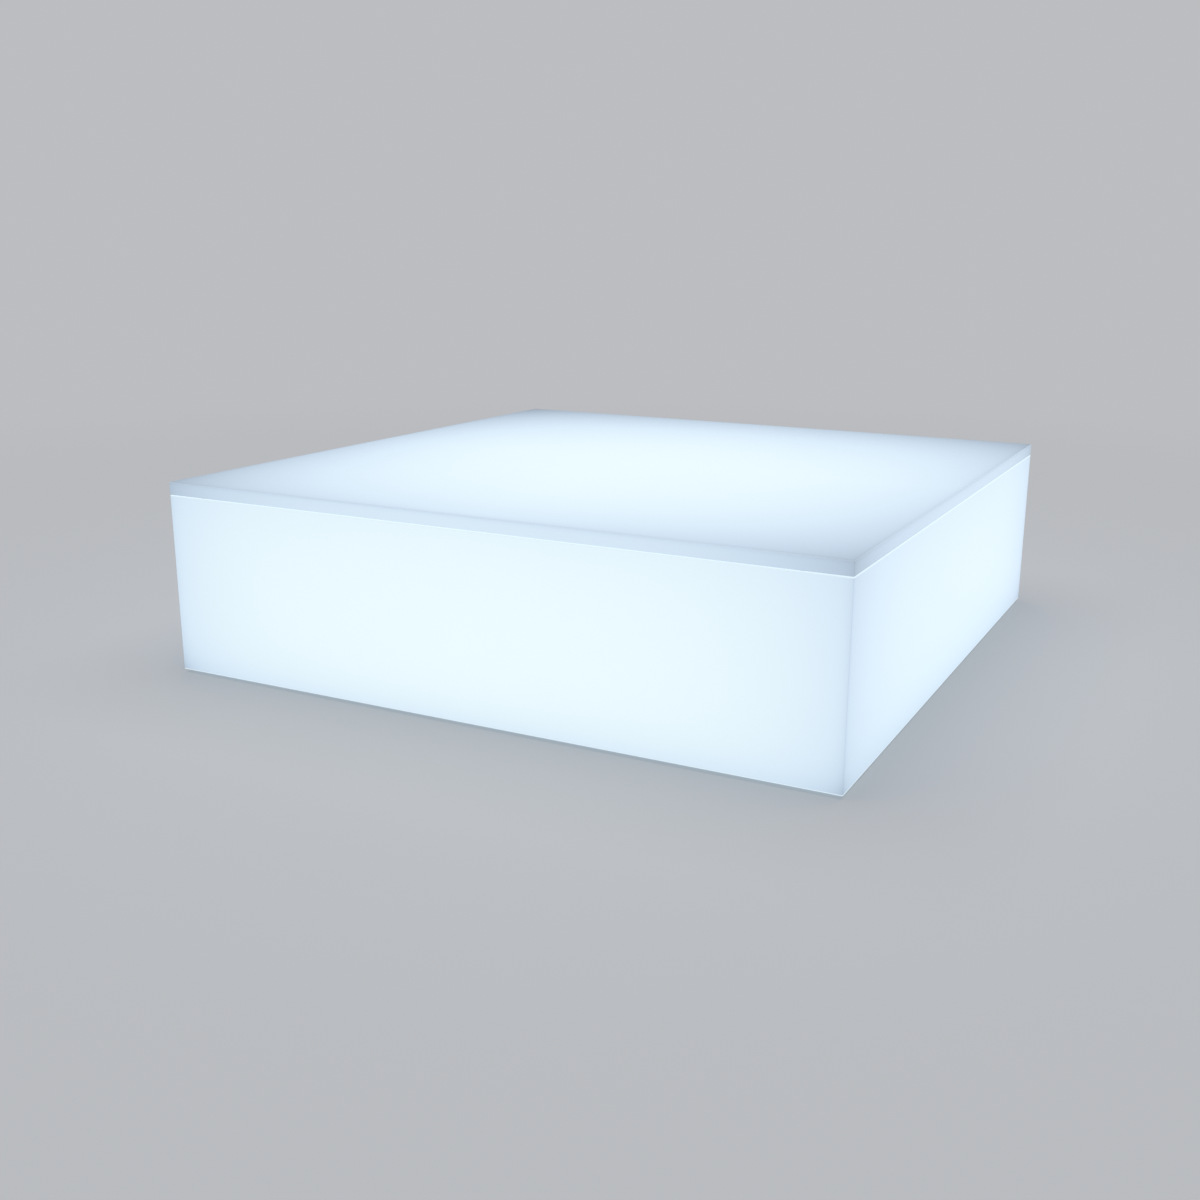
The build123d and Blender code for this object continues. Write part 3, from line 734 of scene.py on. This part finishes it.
class Former(Tree):
    """A shape made by geometry nodes. The tree's named inputs are its sizes."""

    def __init__(self, name, **sizes):
        super().__init__(bpy.data.node_groups.new(name, "GeometryNodeTree"))
        kinds = {int: "NodeSocketInt", float: "NodeSocketFloat", tuple: "NodeSocketVector"}
        self.sizes = sizes
        self.identifiers = {}
        for key, value in sizes.items():
            socket = self.tree.interface.new_socket(key, in_out="INPUT", socket_type=kinds[type(value)])
            self.identifiers[key] = socket.identifier
        self.tree.interface.new_socket("shape", in_out="OUTPUT", socket_type="NodeSocketGeometry")
        self.inputs = self.node("NodeGroupInput").outputs

    def size(self, key):
        return Signal(self.inputs[key])

    def block(self, size):
        return self.signal("GeometryNodeMeshCube", sockets={"Size": size})

    def rod(self, sides, rings, radius, length):
        sockets = {"Vertices": sides, "Side Segments": rings, "Radius": radius, "Depth": length}
        return self.signal("GeometryNodeMeshCylinder", sockets=sockets)

    def line(self, count, start, step):
        """Points in a row, for what repeats."""
        sockets = {"Count": count, "Start Location": start, "Offset": step}
        return self.signal("GeometryNodeMeshLine", sockets=sockets)

    def circle(self, sides, radius):
        sockets = {"Resolution": sides, "Radius": radius}
        return self.signal("GeometryNodeCurvePrimitiveCircle", sockets=sockets)

    def at(self, points, shape):
        return self.signal("GeometryNodeInstanceOnPoints", sockets={"Points": points, "Instance": shape})

    def moved(self, shape, place, turn=nought):
        sockets = {"Geometry": shape, "Translation": place, "Rotation": turn}
        return self.signal("GeometryNodeTransform", sockets=sockets)

    def cut(self, shape, *tools):
        settings = {"operation": "DIFFERENCE", "solver": "EXACT"}
        return self.signal("GeometryNodeMeshBoolean", settings, {"Mesh 1": shape, "Mesh 2": list(tools)})

    def reshaped(self, shape, place):
        return self.signal("GeometryNodeSetPosition", sockets={"Geometry": shape, "Position": place})

    def close(self, shape, slot):
        """Ends the tree: instances made real, and the finish set."""
        self.slot = slot
        real = self.signal("GeometryNodeRealizeInstances", sockets={"Geometry": shape})
        sockets = {"Geometry": real, "Material": finishes[slot]}
        dressed = self.signal("GeometryNodeSetMaterial", sockets=sockets)
        self.node("NodeGroupOutput", sockets={"shape": dressed})

    def make(self, name, body, *replaced, spot=None, **changed):
        """Runs the tree once, with its sizes as given or changed, and keeps the result as a plain mesh."""
        carrier = bpy.data.objects.new("carrier", bpy.data.meshes.new("carrier"))
        bpy.context.scene.collection.objects.link(carrier)
        modifier = carrier.modifiers.new("former", "NODES")
        modifier.node_group = self.tree
        for key, value in {**self.sizes, **changed}.items():
            modifier[self.identifiers[key]] = value
        shaped = carrier.evaluated_get(bpy.context.evaluated_depsgraph_get())
        mesh = bpy.data.meshes.new_from_object(shaped)
        mesh.name = name
        if spot is not None:
            mesh.transform(spot)
        carrier.modifiers.remove(modifier)
        bpy.data.objects.remove(carrier)
        return keep(name, mesh, body, self.slot, *replaced)


def on_grid(form, shape):
    """Copies of a shape in columns along x and rows along y, from the sizes of those names."""
    column_step = form.together(form.size("column_step"), 0.0, 0.0)
    row_step = form.together(0.0, form.size("row_step"), 0.0)
    columns = form.line(form.size("columns"), form.size("first"), column_step)
    rows = form.line(form.size("rows"), nought, row_step)
    return form.at(rows, form.at(columns, shape))


def blocks(name, slot, size, first, easing, columns=(1, 0.0), rows=(1, 0.0)):
    """Like blocks on a grid. Columns and rows are a count and a step each, and first is a middle."""
    form = Former(
        name,
        block=size,
        first=first,
        columns=columns[0],
        column_step=columns[1],
        rows=rows[0],
        row_step=rows[1],
    )
    form.close(on_grid(form, form.block(form.size("block"))), slot)
    ease(form.make(name, "case"), easing)


def turned(profile, sides, place, reach=None):
    """A closed round solid. Its profile runs from the axis at the bottom, outwards, up and back."""
    points, rings, faces = [], [], []
    for radius, height in profile:
        if radius == 0.0:
            rings.append([len(points)] * sides)
            points.append(place @ Vector((0.0, 0.0, height)))
            continue
        rings.append(range(len(points), len(points) + sides))
        for side in range(sides):
            turn = side * math.tau / sides
            out = reach(turn, radius, height) if reach else radius
            points.append(place @ Vector((out * math.cos(turn), out * math.sin(turn), height)))
    for lower, upper in zip(rings, rings[1:]):
        for side in range(sides):
            ahead = (side + 1) % sides
            face = (lower[side], lower[ahead], upper[ahead], upper[side])
            faces.append(tuple(dict.fromkeys(face)))
    mesh = bpy.data.meshes.new("turned")
    mesh.from_pydata(points, [], faces)
    return mesh


def copies(mesh, spots):
    """One mesh with a copy of this mesh at each spot."""
    points, faces = [], []
    for spot in spots:
        start = len(points)
        points += [vertex.co + Vector(spot) for vertex in mesh.vertices]
        faces += [[start + corner for corner in face.vertices] for face in mesh.polygons]
    joined = bpy.data.meshes.new("copies")
    joined.from_pydata(points, [], faces)
    return joined


# Feet. The thread's flanks rise by tooth_slope, less tooth_root, and its ends start at tip_share
stud_low, stud_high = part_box("foot_stud_front_left")
stud_crest = (stud_high.x - stud_low.x) / 2
stud_root = 0.0041
stud_pitch = 0.0015
stud_sides = 36
rings_to_a_turn = 8
tooth_slope = 1.6
tooth_root = 0.3
tip_share = 0.94
hex_across_flats = 0.005
hex_depth = 0.006
hex_sides = 6
pad_low, pad_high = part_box("foot_pad_front_left")
pad_radius = (pad_high.x - pad_low.x) / 2
pad_hub = 0.0085
pad_hub_rise = 0.0008
pad_bore_gap = 0.0001
pad_rim = 0.001
pad_ribs = 24
pad_rib_depth = 0.0007
sides_to_a_rib = 6


def threaded_studs():
    """The studs: a rolled thread with eased ends, and a hex socket that a key turns from above."""
    length = stud_high.z - stud_low.z
    form = Former(
        "threaded_stud",
        crest=stud_crest,
        root=stud_root,
        pitch=stud_pitch,
        length=length,
        across_flats=hex_across_flats,
        socket_depth=hex_depth,
        centre=nought,
        sides=stud_sides,
        rings=round(length / stud_pitch * rings_to_a_turn),
    )
    crest, root, pitch = form.size("crest"), form.size("root"), form.size("pitch")
    half_length = form.size("length") / 2
    x, y, z = form.apart(form.signal("GeometryNodeInputPosition"))
    turn = maths(form.tree, "ARCTAN2", y, x) / math.tau
    phase = maths(form.tree, "FRACT", z / pitch - turn)
    tooth = abs(phase * 2 - 1) * tooth_slope - tooth_root
    tooth = largest(smallest(tooth, 1.0), 0.0)
    radius = smallest(root + (crest - root) * tooth, root * tip_share + half_length - abs(z))
    scale = radius / crest
    rod = form.rod(form.size("sides"), form.size("rings"), crest, form.size("length"))
    thread = form.reshaped(rod, form.together(x * scale, y * scale, z))
    hex_radius = form.size("across_flats") / math.sqrt(3)
    key_hole = form.rod(hex_sides, 1, hex_radius, form.size("socket_depth") * 2)
    key_hole = form.moved(key_hole, form.together(0.0, 0.0, half_length))
    form.close(form.moved(form.cut(thread, key_hole), form.size("centre")), "zinc_steel")
    for corner in corners:
        centre = tuple(middle(f"foot_stud_{corner}"))
        form.make(f"threaded_stud_{corner}", f"stud_{corner}", f"foot_stud_{corner}", centre=centre)


def ribbed_pads():
    """The pads: a ribbed rim to grip, a raised hub round the stud's socket, and a flat face below."""
    bore = stud_crest + pad_bore_gap
    top = pad_high.z
    face = top - pad_hub_rise
    profile = [
        (0.0, 0.0),
        (pad_radius - 0.0012, 0.0),
        (pad_radius, 0.0009),
        (pad_radius, top - 0.0018),
        (pad_radius - 0.0004, top - 0.0012),
        (pad_radius - 0.0014, face),
        (pad_hub + 0.0012, face),
        (pad_hub, top),
        (bore + 0.0004, top),
        (bore, top - 0.0004),
        (bore, stud_low.z),
        (0.0, stud_low.z),
    ]

    def rib(turn, radius, height):
        if radius < pad_radius - pad_rim:
            return radius
        return radius - pad_rib_depth * (0.5 - 0.5 * math.cos(pad_ribs * turn))

    for corner in corners:
        place = middle(f"foot_pad_{corner}")
        spot = Matrix.Translation((place.x, place.y, 0.0))
        mesh = turned(profile, pad_ribs * sides_to_a_rib, spot, rib)
        keep(f"ribbed_pad_{corner}", mesh, f"pad_{corner}", "grey_pad", f"foot_pad_{corner}")


# Small parts of the LED rows. A size is along, across and high, and easing rounds a part's edges
lens_sides = 24
flange_height = 0.0012
dip_radius = 0.0017
dip_depth = 0.0009
dome_steps = 8
dip_steps = 4
resistor = (0.0032, 0.0016, 0.0006)
resistor_cap = 0.0005
cap_lap = (1.04, 1.08)
resistor_aside = 0.0048
resistor_easing = 0.00008
cap_easing = 0.00006
driver = (0.005, 0.004, 0.0014)
driver_lift = 0.0001
driver_leg = (0.0004, 0.0062, 0.0003)
driver_pins = 4
driver_aside = -0.0048
driver_easing = 0.0002
leg_easing = 0.00005
shell_width = 0.012
shell_easing = 0.0003
latch_window = 0.0046
latch_depth = 0.0016
latch_tilt = 0.12
tap_rib = (0.009, 0.0009, 0.0006)
tap_rib_step = 0.003
tap_rib_easing = 0.0002


def row_lenses():
    """The lenses: an eased flange, a groove, and a dome with a soft dip over the chip."""
    height = lens_high.z - lens_low.z
    groove = flange_height - 0.0003
    profile = [
        (0.0, 0.0),
        (lens_flange - 0.0002, 0.0),
        (lens_flange, 0.0002),
        (lens_flange, flange_height - 0.00025),
        (lens_flange - 0.00025, flange_height),
        (lens_dome + 0.0004, flange_height),
        (lens_dome + 0.0002, groove),
        (lens_dome, groove),
    ]
    for step in range(dome_steps + 1):
        turn = step / dome_steps * math.pi / 2
        out = dip_radius + (lens_dome - dip_radius) * math.cos(turn)
        profile.append((out, flange_height + (height - flange_height) * math.sin(turn)))
    for step in range(dip_steps - 1, 0, -1):
        share = step / dip_steps
        dip = dip_depth * (0.5 + 0.5 * math.cos(math.pi * share))
        profile.append((dip_radius * share, height - dip))
    profile.append((0.0, height - dip_depth))
    xs = [first_lens_x + lens_pitch * number for number in range(lens_gaps + 1)]
    spots = [(x, y, lens_low.z) for y in row_ys for x in xs]
    lenses = copies(turned(profile, lens_sides, Matrix()), spots)
    keep("row_lenses", lenses, "case", "lit_lens", *numbered("led_lenses_"))


def row_resistors():
    """One chip resistor beside each gap between lenses, with tinned end caps."""
    length, width, height = resistor
    x = first_lens_x + lens_pitch / 2
    y = row_ys[0] + resistor_aside
    z = board_high.z + height / 2
    columns = (lens_gaps, lens_pitch)
    blocks("row_resistors", "black_plastic", resistor, (x, y, z), resistor_easing, columns, led_rows)
    cap = (resistor_cap, width * cap_lap[0], height * cap_lap[1])
    for side, end in (("left", x - length / 2), ("right", x + length / 2)):
        place = (end, y, z)
        blocks(f"resistor_caps_{side}", "zinc_steel", cap, place, cap_easing, columns, led_rows)


def row_drivers():
    """A constant-current driver on each board, on four pairs of tinned legs."""
    length, _, height = driver
    x = first_lens_x + lens_pitch / 2
    y = row_ys[0] + driver_aside
    seat = board_high.z
    place = (x, y, seat + height / 2 + driver_lift)
    blocks("row_drivers", "black_plastic", driver, place, driver_easing, rows=led_rows)
    leg_step = length / driver_pins
    first_leg = (x - leg_step * (driver_pins - 1) / 2, y, seat + driver_leg[2] / 2)
    legs = (driver_pins, leg_step)
    blocks("driver_legs", "zinc_steel", driver_leg, first_leg, leg_easing, legs, led_rows)


def socket_shells():
    """The boards' sockets: a shell with an open latch window and a latch tongue, and two side ribs."""
    low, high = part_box("board_sockets")
    length, height = high.x - low.x, high.z - low.z
    top = height / 2
    form = Former(
        "socket_shell",
        shell=(length, shell_width, height),
        window=(latch_window, latch_window, latch_depth),
        tongue=(latch_window * 0.8, latch_window * 0.6, 0.0009),
        rib=(length * 0.7, shell_width * 1.08, 0.0008),
        first=((low.x + high.x) / 2, row_ys[0], (low.z + high.z) / 2),
        columns=1,
        column_step=0.0,
        rows=len(row_ys),
        row_step=row_pitch,
    )
    window = form.moved(form.block(form.size("window")), (0.0, 0.0, top))
    shell = form.cut(form.block(form.size("shell")), window)
    tongue_place, tongue_turn = (0.0, 0.0, top - 0.0006), (0.0, latch_tilt, 0.0)
    tongue = form.moved(form.block(form.size("tongue")), tongue_place, tongue_turn)
    rib = form.moved(form.block(form.size("rib")), (0.0, 0.0, -top * 0.3))
    whole = form.signal("GeometryNodeJoinGeometry", sockets={0: [shell, tongue, rib]})
    form.close(on_grid(form, whole), "white_nylon")
    ease(form.make("socket_shells", "case", "board_sockets"), shell_easing)


def tap_ribs():
    """Grip ribs across the taps' lids."""
    low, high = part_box("lead_taps")
    x = (low.x + high.x) / 2
    for number, aside in enumerate((-tap_rib_step, 0.0, tap_rib_step), start=1):
        first = (x, row_ys[0] + aside, high.z)
        blocks(f"tap_ribs_{number}", "white_nylon", tap_rib, first, tap_rib_easing, rows=led_rows)


# Controller. Shares are of the cover's width, and of one way's width and height
louvre_count = 8
louvre_step = 0.0052
louvre_share = 0.56
louvre_section = (0.0024, 0.0014)
louvre_easing = 0.0006
terminal_ways = 8
terminal_depth = 0.008
way_share = 0.97
mouth_share = (0.78, 0.5)
entry_share = (0.6, 0.36)
mouth_depth = 0.0016
entry_depth = 0.008
way_easing = 0.0002
terminal_screw = (0.0016, 0.0012)
screw_slot = (0.004, 0.0005, 0.0012)
screw_slot_lift = 0.0008
screw_sides = 20
screw_easing = 0.00012
transistor = (0.0065, 0.006, 0.0023)
transistor_tab = (0.0056, 0.0022, 0.0006)
transistor_count = 4
transistor_step = 0.0088
transistor_inset = (0.009, 0.0155)
transistor_easing = 0.0003
tab_ahead = 0.0041
tab_easing = 0.0001
main_chip = (0.009, 0.009, 0.0014)
chip_ahead = 0.004
chip_easing = 0.0002
capacitor = (0.004, 0.0105)
capacitor_aside = 0.012
capacitor_ahead = 0.016
capacitor_sides = 40


def cover_louvres():
    """Raised vent bars across the controller's cover."""
    low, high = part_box("controller_cover")
    place = middle("controller_cover")
    size = ((high.x - low.x) * louvre_share, *louvre_section)
    first = (place.x, place.y - louvre_step * (louvre_count - 1) / 2, high.z)
    rows = (louvre_count, louvre_step)
    blocks("cover_louvres", "white_case", size, first, louvre_easing, rows=rows)


def terminal_rows():
    """A row of terminals at each end of the controller's board, each way with its wire entry."""
    low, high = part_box("controller_terminals")
    step = (high.x - low.x) / terminal_ways
    height = high.z - low.z
    form = Former(
        "terminal_way",
        way=(step * way_share, terminal_depth, height),
        mouth=(step * mouth_share[0], mouth_depth, height * mouth_share[1]),
        entry=(step * entry_share[0], entry_depth, height * entry_share[1]),
        entry_place=(0.0, -terminal_depth / 2, 0.0),
        centre=tuple(middle("controller_terminals")),
        first=(-step * (terminal_ways - 1) / 2, -(high.y - low.y - terminal_depth) / 2, 0.0),
        columns=terminal_ways,
        column_step=step,
        rows=1,
        row_step=0.0,
    )
    mouth = form.moved(form.block(form.size("mouth")), form.size("entry_place"))
    entry = form.moved(form.block(form.size("entry")), form.size("entry_place"))
    near_row = on_grid(form, form.cut(form.block(form.size("way")), mouth, entry))
    far_row = form.moved(near_row, nought, (0.0, 0.0, math.pi))
    rows = form.signal("GeometryNodeJoinGeometry", sockets={0: [near_row, far_row]})
    form.close(form.moved(rows, form.size("centre")), "terminal_green")
    ease(form.make("terminal_rows", "case", "controller_terminals"), way_easing)


def terminal_screws():
    """Slotted screws along both terminal rows, inside the controller."""
    low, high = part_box("controller_terminals")
    step = (high.x - low.x) / terminal_ways
    form = Former(
        "terminal_screw",
        radius=terminal_screw[0],
        height=terminal_screw[1],
        slot=screw_slot,
        first=(low.x + step / 2, low.y + terminal_depth / 2, high.z),
        columns=terminal_ways,
        column_step=step,
        rows=2,
        row_step=high.y - low.y - terminal_depth,
    )
    head = form.rod(screw_sides, 1, form.size("radius"), form.size("height"))
    slot = form.moved(form.block(form.size("slot")), (0.0, 0.0, screw_slot_lift))
    form.close(on_grid(form, form.cut(head, slot)), "zinc_steel")
    ease(form.make("terminal_screws", "case"), screw_easing)


def controller_parts():
    """The controller's power transistors, main chip and smoothing capacitors, under the cover."""
    low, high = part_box("controller_board")
    seat = high.z
    x, y = low.x + transistor_inset[0], low.y + transistor_inset[1]
    columns = (transistor_count, transistor_step)
    first = (x, y, seat + transistor[2] / 2)
    blocks("power_transistors", "black_plastic", transistor, first, transistor_easing, columns)
    first = (x, y + tab_ahead, seat + transistor_tab[2] / 2)
    blocks("transistor_tabs", "zinc_steel", transistor_tab, first, tab_easing, columns)
    place = middle("controller_board")
    spot = (place.x, place.y + chip_ahead, seat + main_chip[2] / 2)
    blocks("main_chip", "black_plastic", main_chip, spot, chip_easing)
    smoothing_capacitors(place, seat)


def smoothing_capacitors(place, seat):
    """Two smoothing capacitors: a sleeved can with a crimped waist and a scored top."""
    radius, height = capacitor
    profile = [
        (0.0, 0.0),
        (radius - 0.0003, 0.0),
        (radius, 0.0004),
        (radius, 0.0011),
        (radius - 0.0005, 0.0016),
        (radius, 0.0021),
        (radius, height - 0.0005),
        (radius - 0.0005, height),
        (radius - 0.0009, height - 0.0002),
        (0.0, height - 0.0002),
    ]
    for name, aside in (("left", -capacitor_aside), ("right", capacitor_aside)):
        spot = Matrix.Translation((place.x + aside, place.y + capacitor_ahead, seat))
        can = turned(profile, capacitor_sides, spot)
        keep(f"capacitor_{name}", can, "case", "black_plastic")


# Bumpers on the wall tops: the dome's outline, as shares of its radius and height
bumper_radius = 0.004
bumper_inset = 0.06
bumper_sides = 28
bumper_outline = [
    (0.0, 0.0),
    (1.0, 0.0),
    (1.0, 0.35),
    (0.94, 0.62),
    (0.8, 0.83),
    (0.55, 0.95),
    (0.3, 0.99),
    (0.0, 1.0),
]


def domed_bumpers():
    """Silicone bumpers on the wall tops: low domes that carry the lid."""
    low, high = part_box("lid_bumpers")
    height = high.z - low.z
    profile = [(out * bumper_radius, up * height) for out, up in bumper_outline]
    mid_wall = half_width - wall_thickness / 2
    ends = half_width - bumper_inset
    spots = [(ends, mid_wall), (mid_wall, ends)]
    spots = [(x * sx, y * sy, low.z) for x, y in spots for sx in (-1, 1) for sy in (-1, 1)]
    domes = copies(turned(profile, bumper_sides, Matrix()), spots)
    keep("domed_bumpers", domes, "case", "clear_silicone", "lid_bumpers")


# Connection pan: inlet jack, sleeves on the leads, and the marks on the rocker
jack_low, jack_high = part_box("inlet_jack")
jack_sides = 48
jack_thread_pitch = 0.0008
jack_thread_depth = 0.0004
jack_rings_to_a_turn = 6
jack_flange = 0.007
jack_flange_depth = 0.002
jack_barrel = 0.0055
jack_barrel_length = 0.014
jack_rear = 0.0045
jack_bore = 0.003
jack_bore_depth = 0.01
jack_pin = 0.00105
sleeve_radius = 0.0027
sleeve_bore = 0.002
sleeve_length = 0.011
sleeve_sides = 28
mark_proud = 0.00012
bar_section = (0.0005, 0.0034)
ring_size = 0.0016
ring_line = 0.00025
ring_sides = 40
ring_line_sides = 10
facing_out = 0.9
facing_back = Matrix.Rotation(math.radians(-90), 4, "X")


def threaded_jack():
    """The inlet jack: flange, threaded barrel and rear body, bored for the plug round a rounded pin."""
    flange, barrel, rear, bore, pin = jack_flange, jack_barrel, jack_rear, jack_bore, jack_pin
    length = jack_high.y - jack_low.y
    flange_start = length - jack_flange_depth
    barrel_start = flange_start - jack_barrel_length
    bore_floor = length - jack_bore_depth
    thread_start = barrel_start + 0.0008
    thread_end = flange_start - 0.0012
    thread_length = thread_end - thread_start
    steps = round(thread_length / jack_thread_pitch * jack_rings_to_a_turn)
    thread = [(barrel, thread_start + thread_length * step / steps) for step in range(steps + 1)]
    profile = [
        (0.0, 0.0),
        (rear - 0.0005, 0.0),
        (rear, 0.0005),
        (rear, barrel_start),
        (barrel - 0.0007, barrel_start),
        *thread,
        (barrel - 0.0005, flange_start - 0.0008),
        (barrel - 0.0005, flange_start),
        (flange, flange_start),
        (flange, length - 0.0006),
        (flange - 0.0005, length - 0.0001),
        (flange - 0.0012, length),
        (bore + 0.0007, length),
        (bore + 0.0003, length - 0.0002),
        (bore, length - 0.0007),
        (bore, bore_floor),
        (pin, bore_floor),
        (pin, length - 0.0027),
        (pin * 0.8, length - 0.0022),
        (pin * 0.4, length - 0.00202),
        (0.0, length - 0.002),
    ]

    def groove(turn, radius, height):
        if radius != barrel:
            return radius
        phase = (height / jack_thread_pitch - turn / math.tau) % 1.0
        return radius - jack_thread_depth * abs(phase * 2 - 1)

    place = middle("inlet_jack")
    spot = Matrix.Translation((place.x, jack_low.y, place.z)) @ facing_back
    keep("threaded_jack", turned(profile, jack_sides, spot, groove), "case", "nickel", "inlet_jack")


def lead_sleeves():
    """Shrunk sleeves where the leads meet the jack and the switch."""
    radius, length = sleeve_radius, sleeve_length
    profile = [
        (0.0, 0.0),
        (sleeve_bore, 0.0),
        (radius - 0.0003, 0.0003),
        (radius, 0.0012),
        (radius - 0.0002, length * 0.5),
        (radius, length - 0.0012),
        (radius - 0.0002, length),
        (0.0, length),
    ]
    for node, holder in (("inlet_lead", "inlet_jack"), ("switch_lead", "switch_housing")):
        low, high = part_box(node)
        place = ((low.x + high.x) / 2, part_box(holder)[0].y - length, high.z - sleeve_bore)
        sleeve = turned(profile, sleeve_sides, Matrix.Translation(place) @ facing_back)
        keep(f"{node}_sleeve", sleeve, "case", "black_plastic")


def rocker_face(side):
    """Middle and outward direction of the rocker's face on one side of its ridge."""
    mesh = nodes["switch_rocker"].data
    ridge = middle("switch_rocker").x
    faces = [face for face in mesh.polygons if face.normal.y > facing_out]
    faces = [face for face in faces if (face.center.x - ridge) * side > 0]
    area = sum(face.area for face in faces)
    centre = sum((face.center * face.area for face in faces), Vector()) / area
    outward = sum((face.normal * face.area for face in faces), Vector()).normalized()
    return centre, outward


def rocker_marks():
    """The on bar and the off ring, raised a little on the rocker's two faces."""
    bar = Former("on_bar", size=(*bar_section, mark_proud * 2))
    bar.close(bar.block(bar.size("size")), "white_case")
    ring = Former("off_ring", radius=ring_size, line=ring_line)
    circle = ring.circle(ring_sides, ring.size("radius"))
    line = ring.circle(ring_line_sides, ring.size("line"))
    sockets = {"Curve": circle, "Profile Curve": line}
    ring.close(ring.signal("GeometryNodeCurveToMesh", sockets=sockets), "white_case")
    for name, form, side in (("on_bar", bar, 1), ("off_ring", ring, -1)):
        centre, outward = rocker_face(side)
        turn = outward.to_track_quat("Z", "Y").to_matrix().to_4x4()
        form.make(f"rocker_{name}", "rocker", spot=Matrix.Translation(centre) @ turn)


threaded_studs()
ribbed_pads()
row_lenses()
row_resistors()
row_drivers()
socket_shells()
tap_ribs()
cover_louvres()
terminal_rows()
terminal_screws()
controller_parts()
domed_bumpers()
threaded_jack()
lead_sleeves()
rocker_marks()


def studio_floor():
    """A wide pale floor that fades into the backdrop."""
    mesh = bpy.data.meshes.new("floor")
    turns = [number * math.tau / floor_corners for number in range(floor_corners)]
    rim = [(floor_radius * math.cos(turn), floor_radius * math.sin(turn), -floor_drop) for turn in turns]
    mesh.from_pydata(rim, [], [range(floor_corners)])
    floor = bpy.data.objects.new("floor", mesh)
    bpy.context.scene.collection.objects.link(floor)
    finish = Finish("floor")
    x, y, _ = finish.place()
    reach = maths(finish.tree, "SQRT", x * x + y * y)
    far = (reach - floor_fade_start) / (floor_fade_end - floor_fade_start)
    far = smallest(largest(far, 0.0), 1.0)
    far = far * far * (3.0 - far * 2.0)
    paint = finish.signal("ShaderNodeBsdfDiffuse", sockets={"Color": floor_colour})
    glow = finish.signal("ShaderNodeEmission", sockets={"Color": backdrop_colour})
    both = finish.signal("ShaderNodeMixShader", sockets={0: far, 1: paint, 2: glow})
    mesh.materials.append(finish.show(both))


def studio_sky():
    """Soft light from all round, with a pale backdrop for the camera, gloss and clear pieces."""
    world = bpy.data.worlds.new("studio")
    bpy.context.scene.world = world
    world.use_nodes = True
    sky = Tree(world.node_tree)
    sky.tree.nodes.clear()
    rays = sky.node("ShaderNodeLightPath").outputs
    seen = Signal(rays["Is Camera Ray"]) + Signal(rays["Is Glossy Ray"])
    seen = seen + Signal(rays["Is Transmission Ray"])
    light = sky.signal("ShaderNodeBackground", sockets={"Color": sky_colour, "Strength": sky_strength})
    backdrop = sky.signal("ShaderNodeBackground", sockets={"Color": backdrop_colour})
    both = sky.signal("ShaderNodeMixShader", sockets={0: smallest(seen, 1.0), 1: light, 2: backdrop})
    sky.node("ShaderNodeOutputWorld", sockets={"Surface": both})


def overhead_lamp():
    """One wide soft lamp above the table, facing down."""
    lamp = bpy.data.lights.new("overhead", "AREA")
    lamp.size = lamp_side
    lamp.energy = lamp_watts
    holder = bpy.data.objects.new("overhead", lamp)
    bpy.context.scene.collection.objects.link(holder)
    holder.location = (0.0, 0.0, lamp_height)


def photo_camera():
    """The camera at the photograph's place, turned, dropped and rolled as it was."""
    camera = bpy.data.objects.new("camera", bpy.data.cameras.new("camera"))
    bpy.context.scene.collection.objects.link(camera)
    bpy.context.scene.camera = camera
    ahead = Vector(
        (
            math.sin(camera_azimuth) * math.cos(camera_drop),
            math.cos(camera_azimuth) * math.cos(camera_drop),
            -math.sin(camera_drop),
        )
    )
    camera.location = camera_place
    camera.rotation_mode = "QUATERNION"
    camera.rotation_quaternion = ahead.to_track_quat("-Z", "Y") @ Quaternion((0, 0, 1), camera_roll)
    camera.data.lens = camera_lens
    camera.data.shift_x = camera_shift


studio_floor()
studio_sky()
overhead_lamp()
photo_camera()
bpy.context.scene.view_settings.view_transform = "Standard"
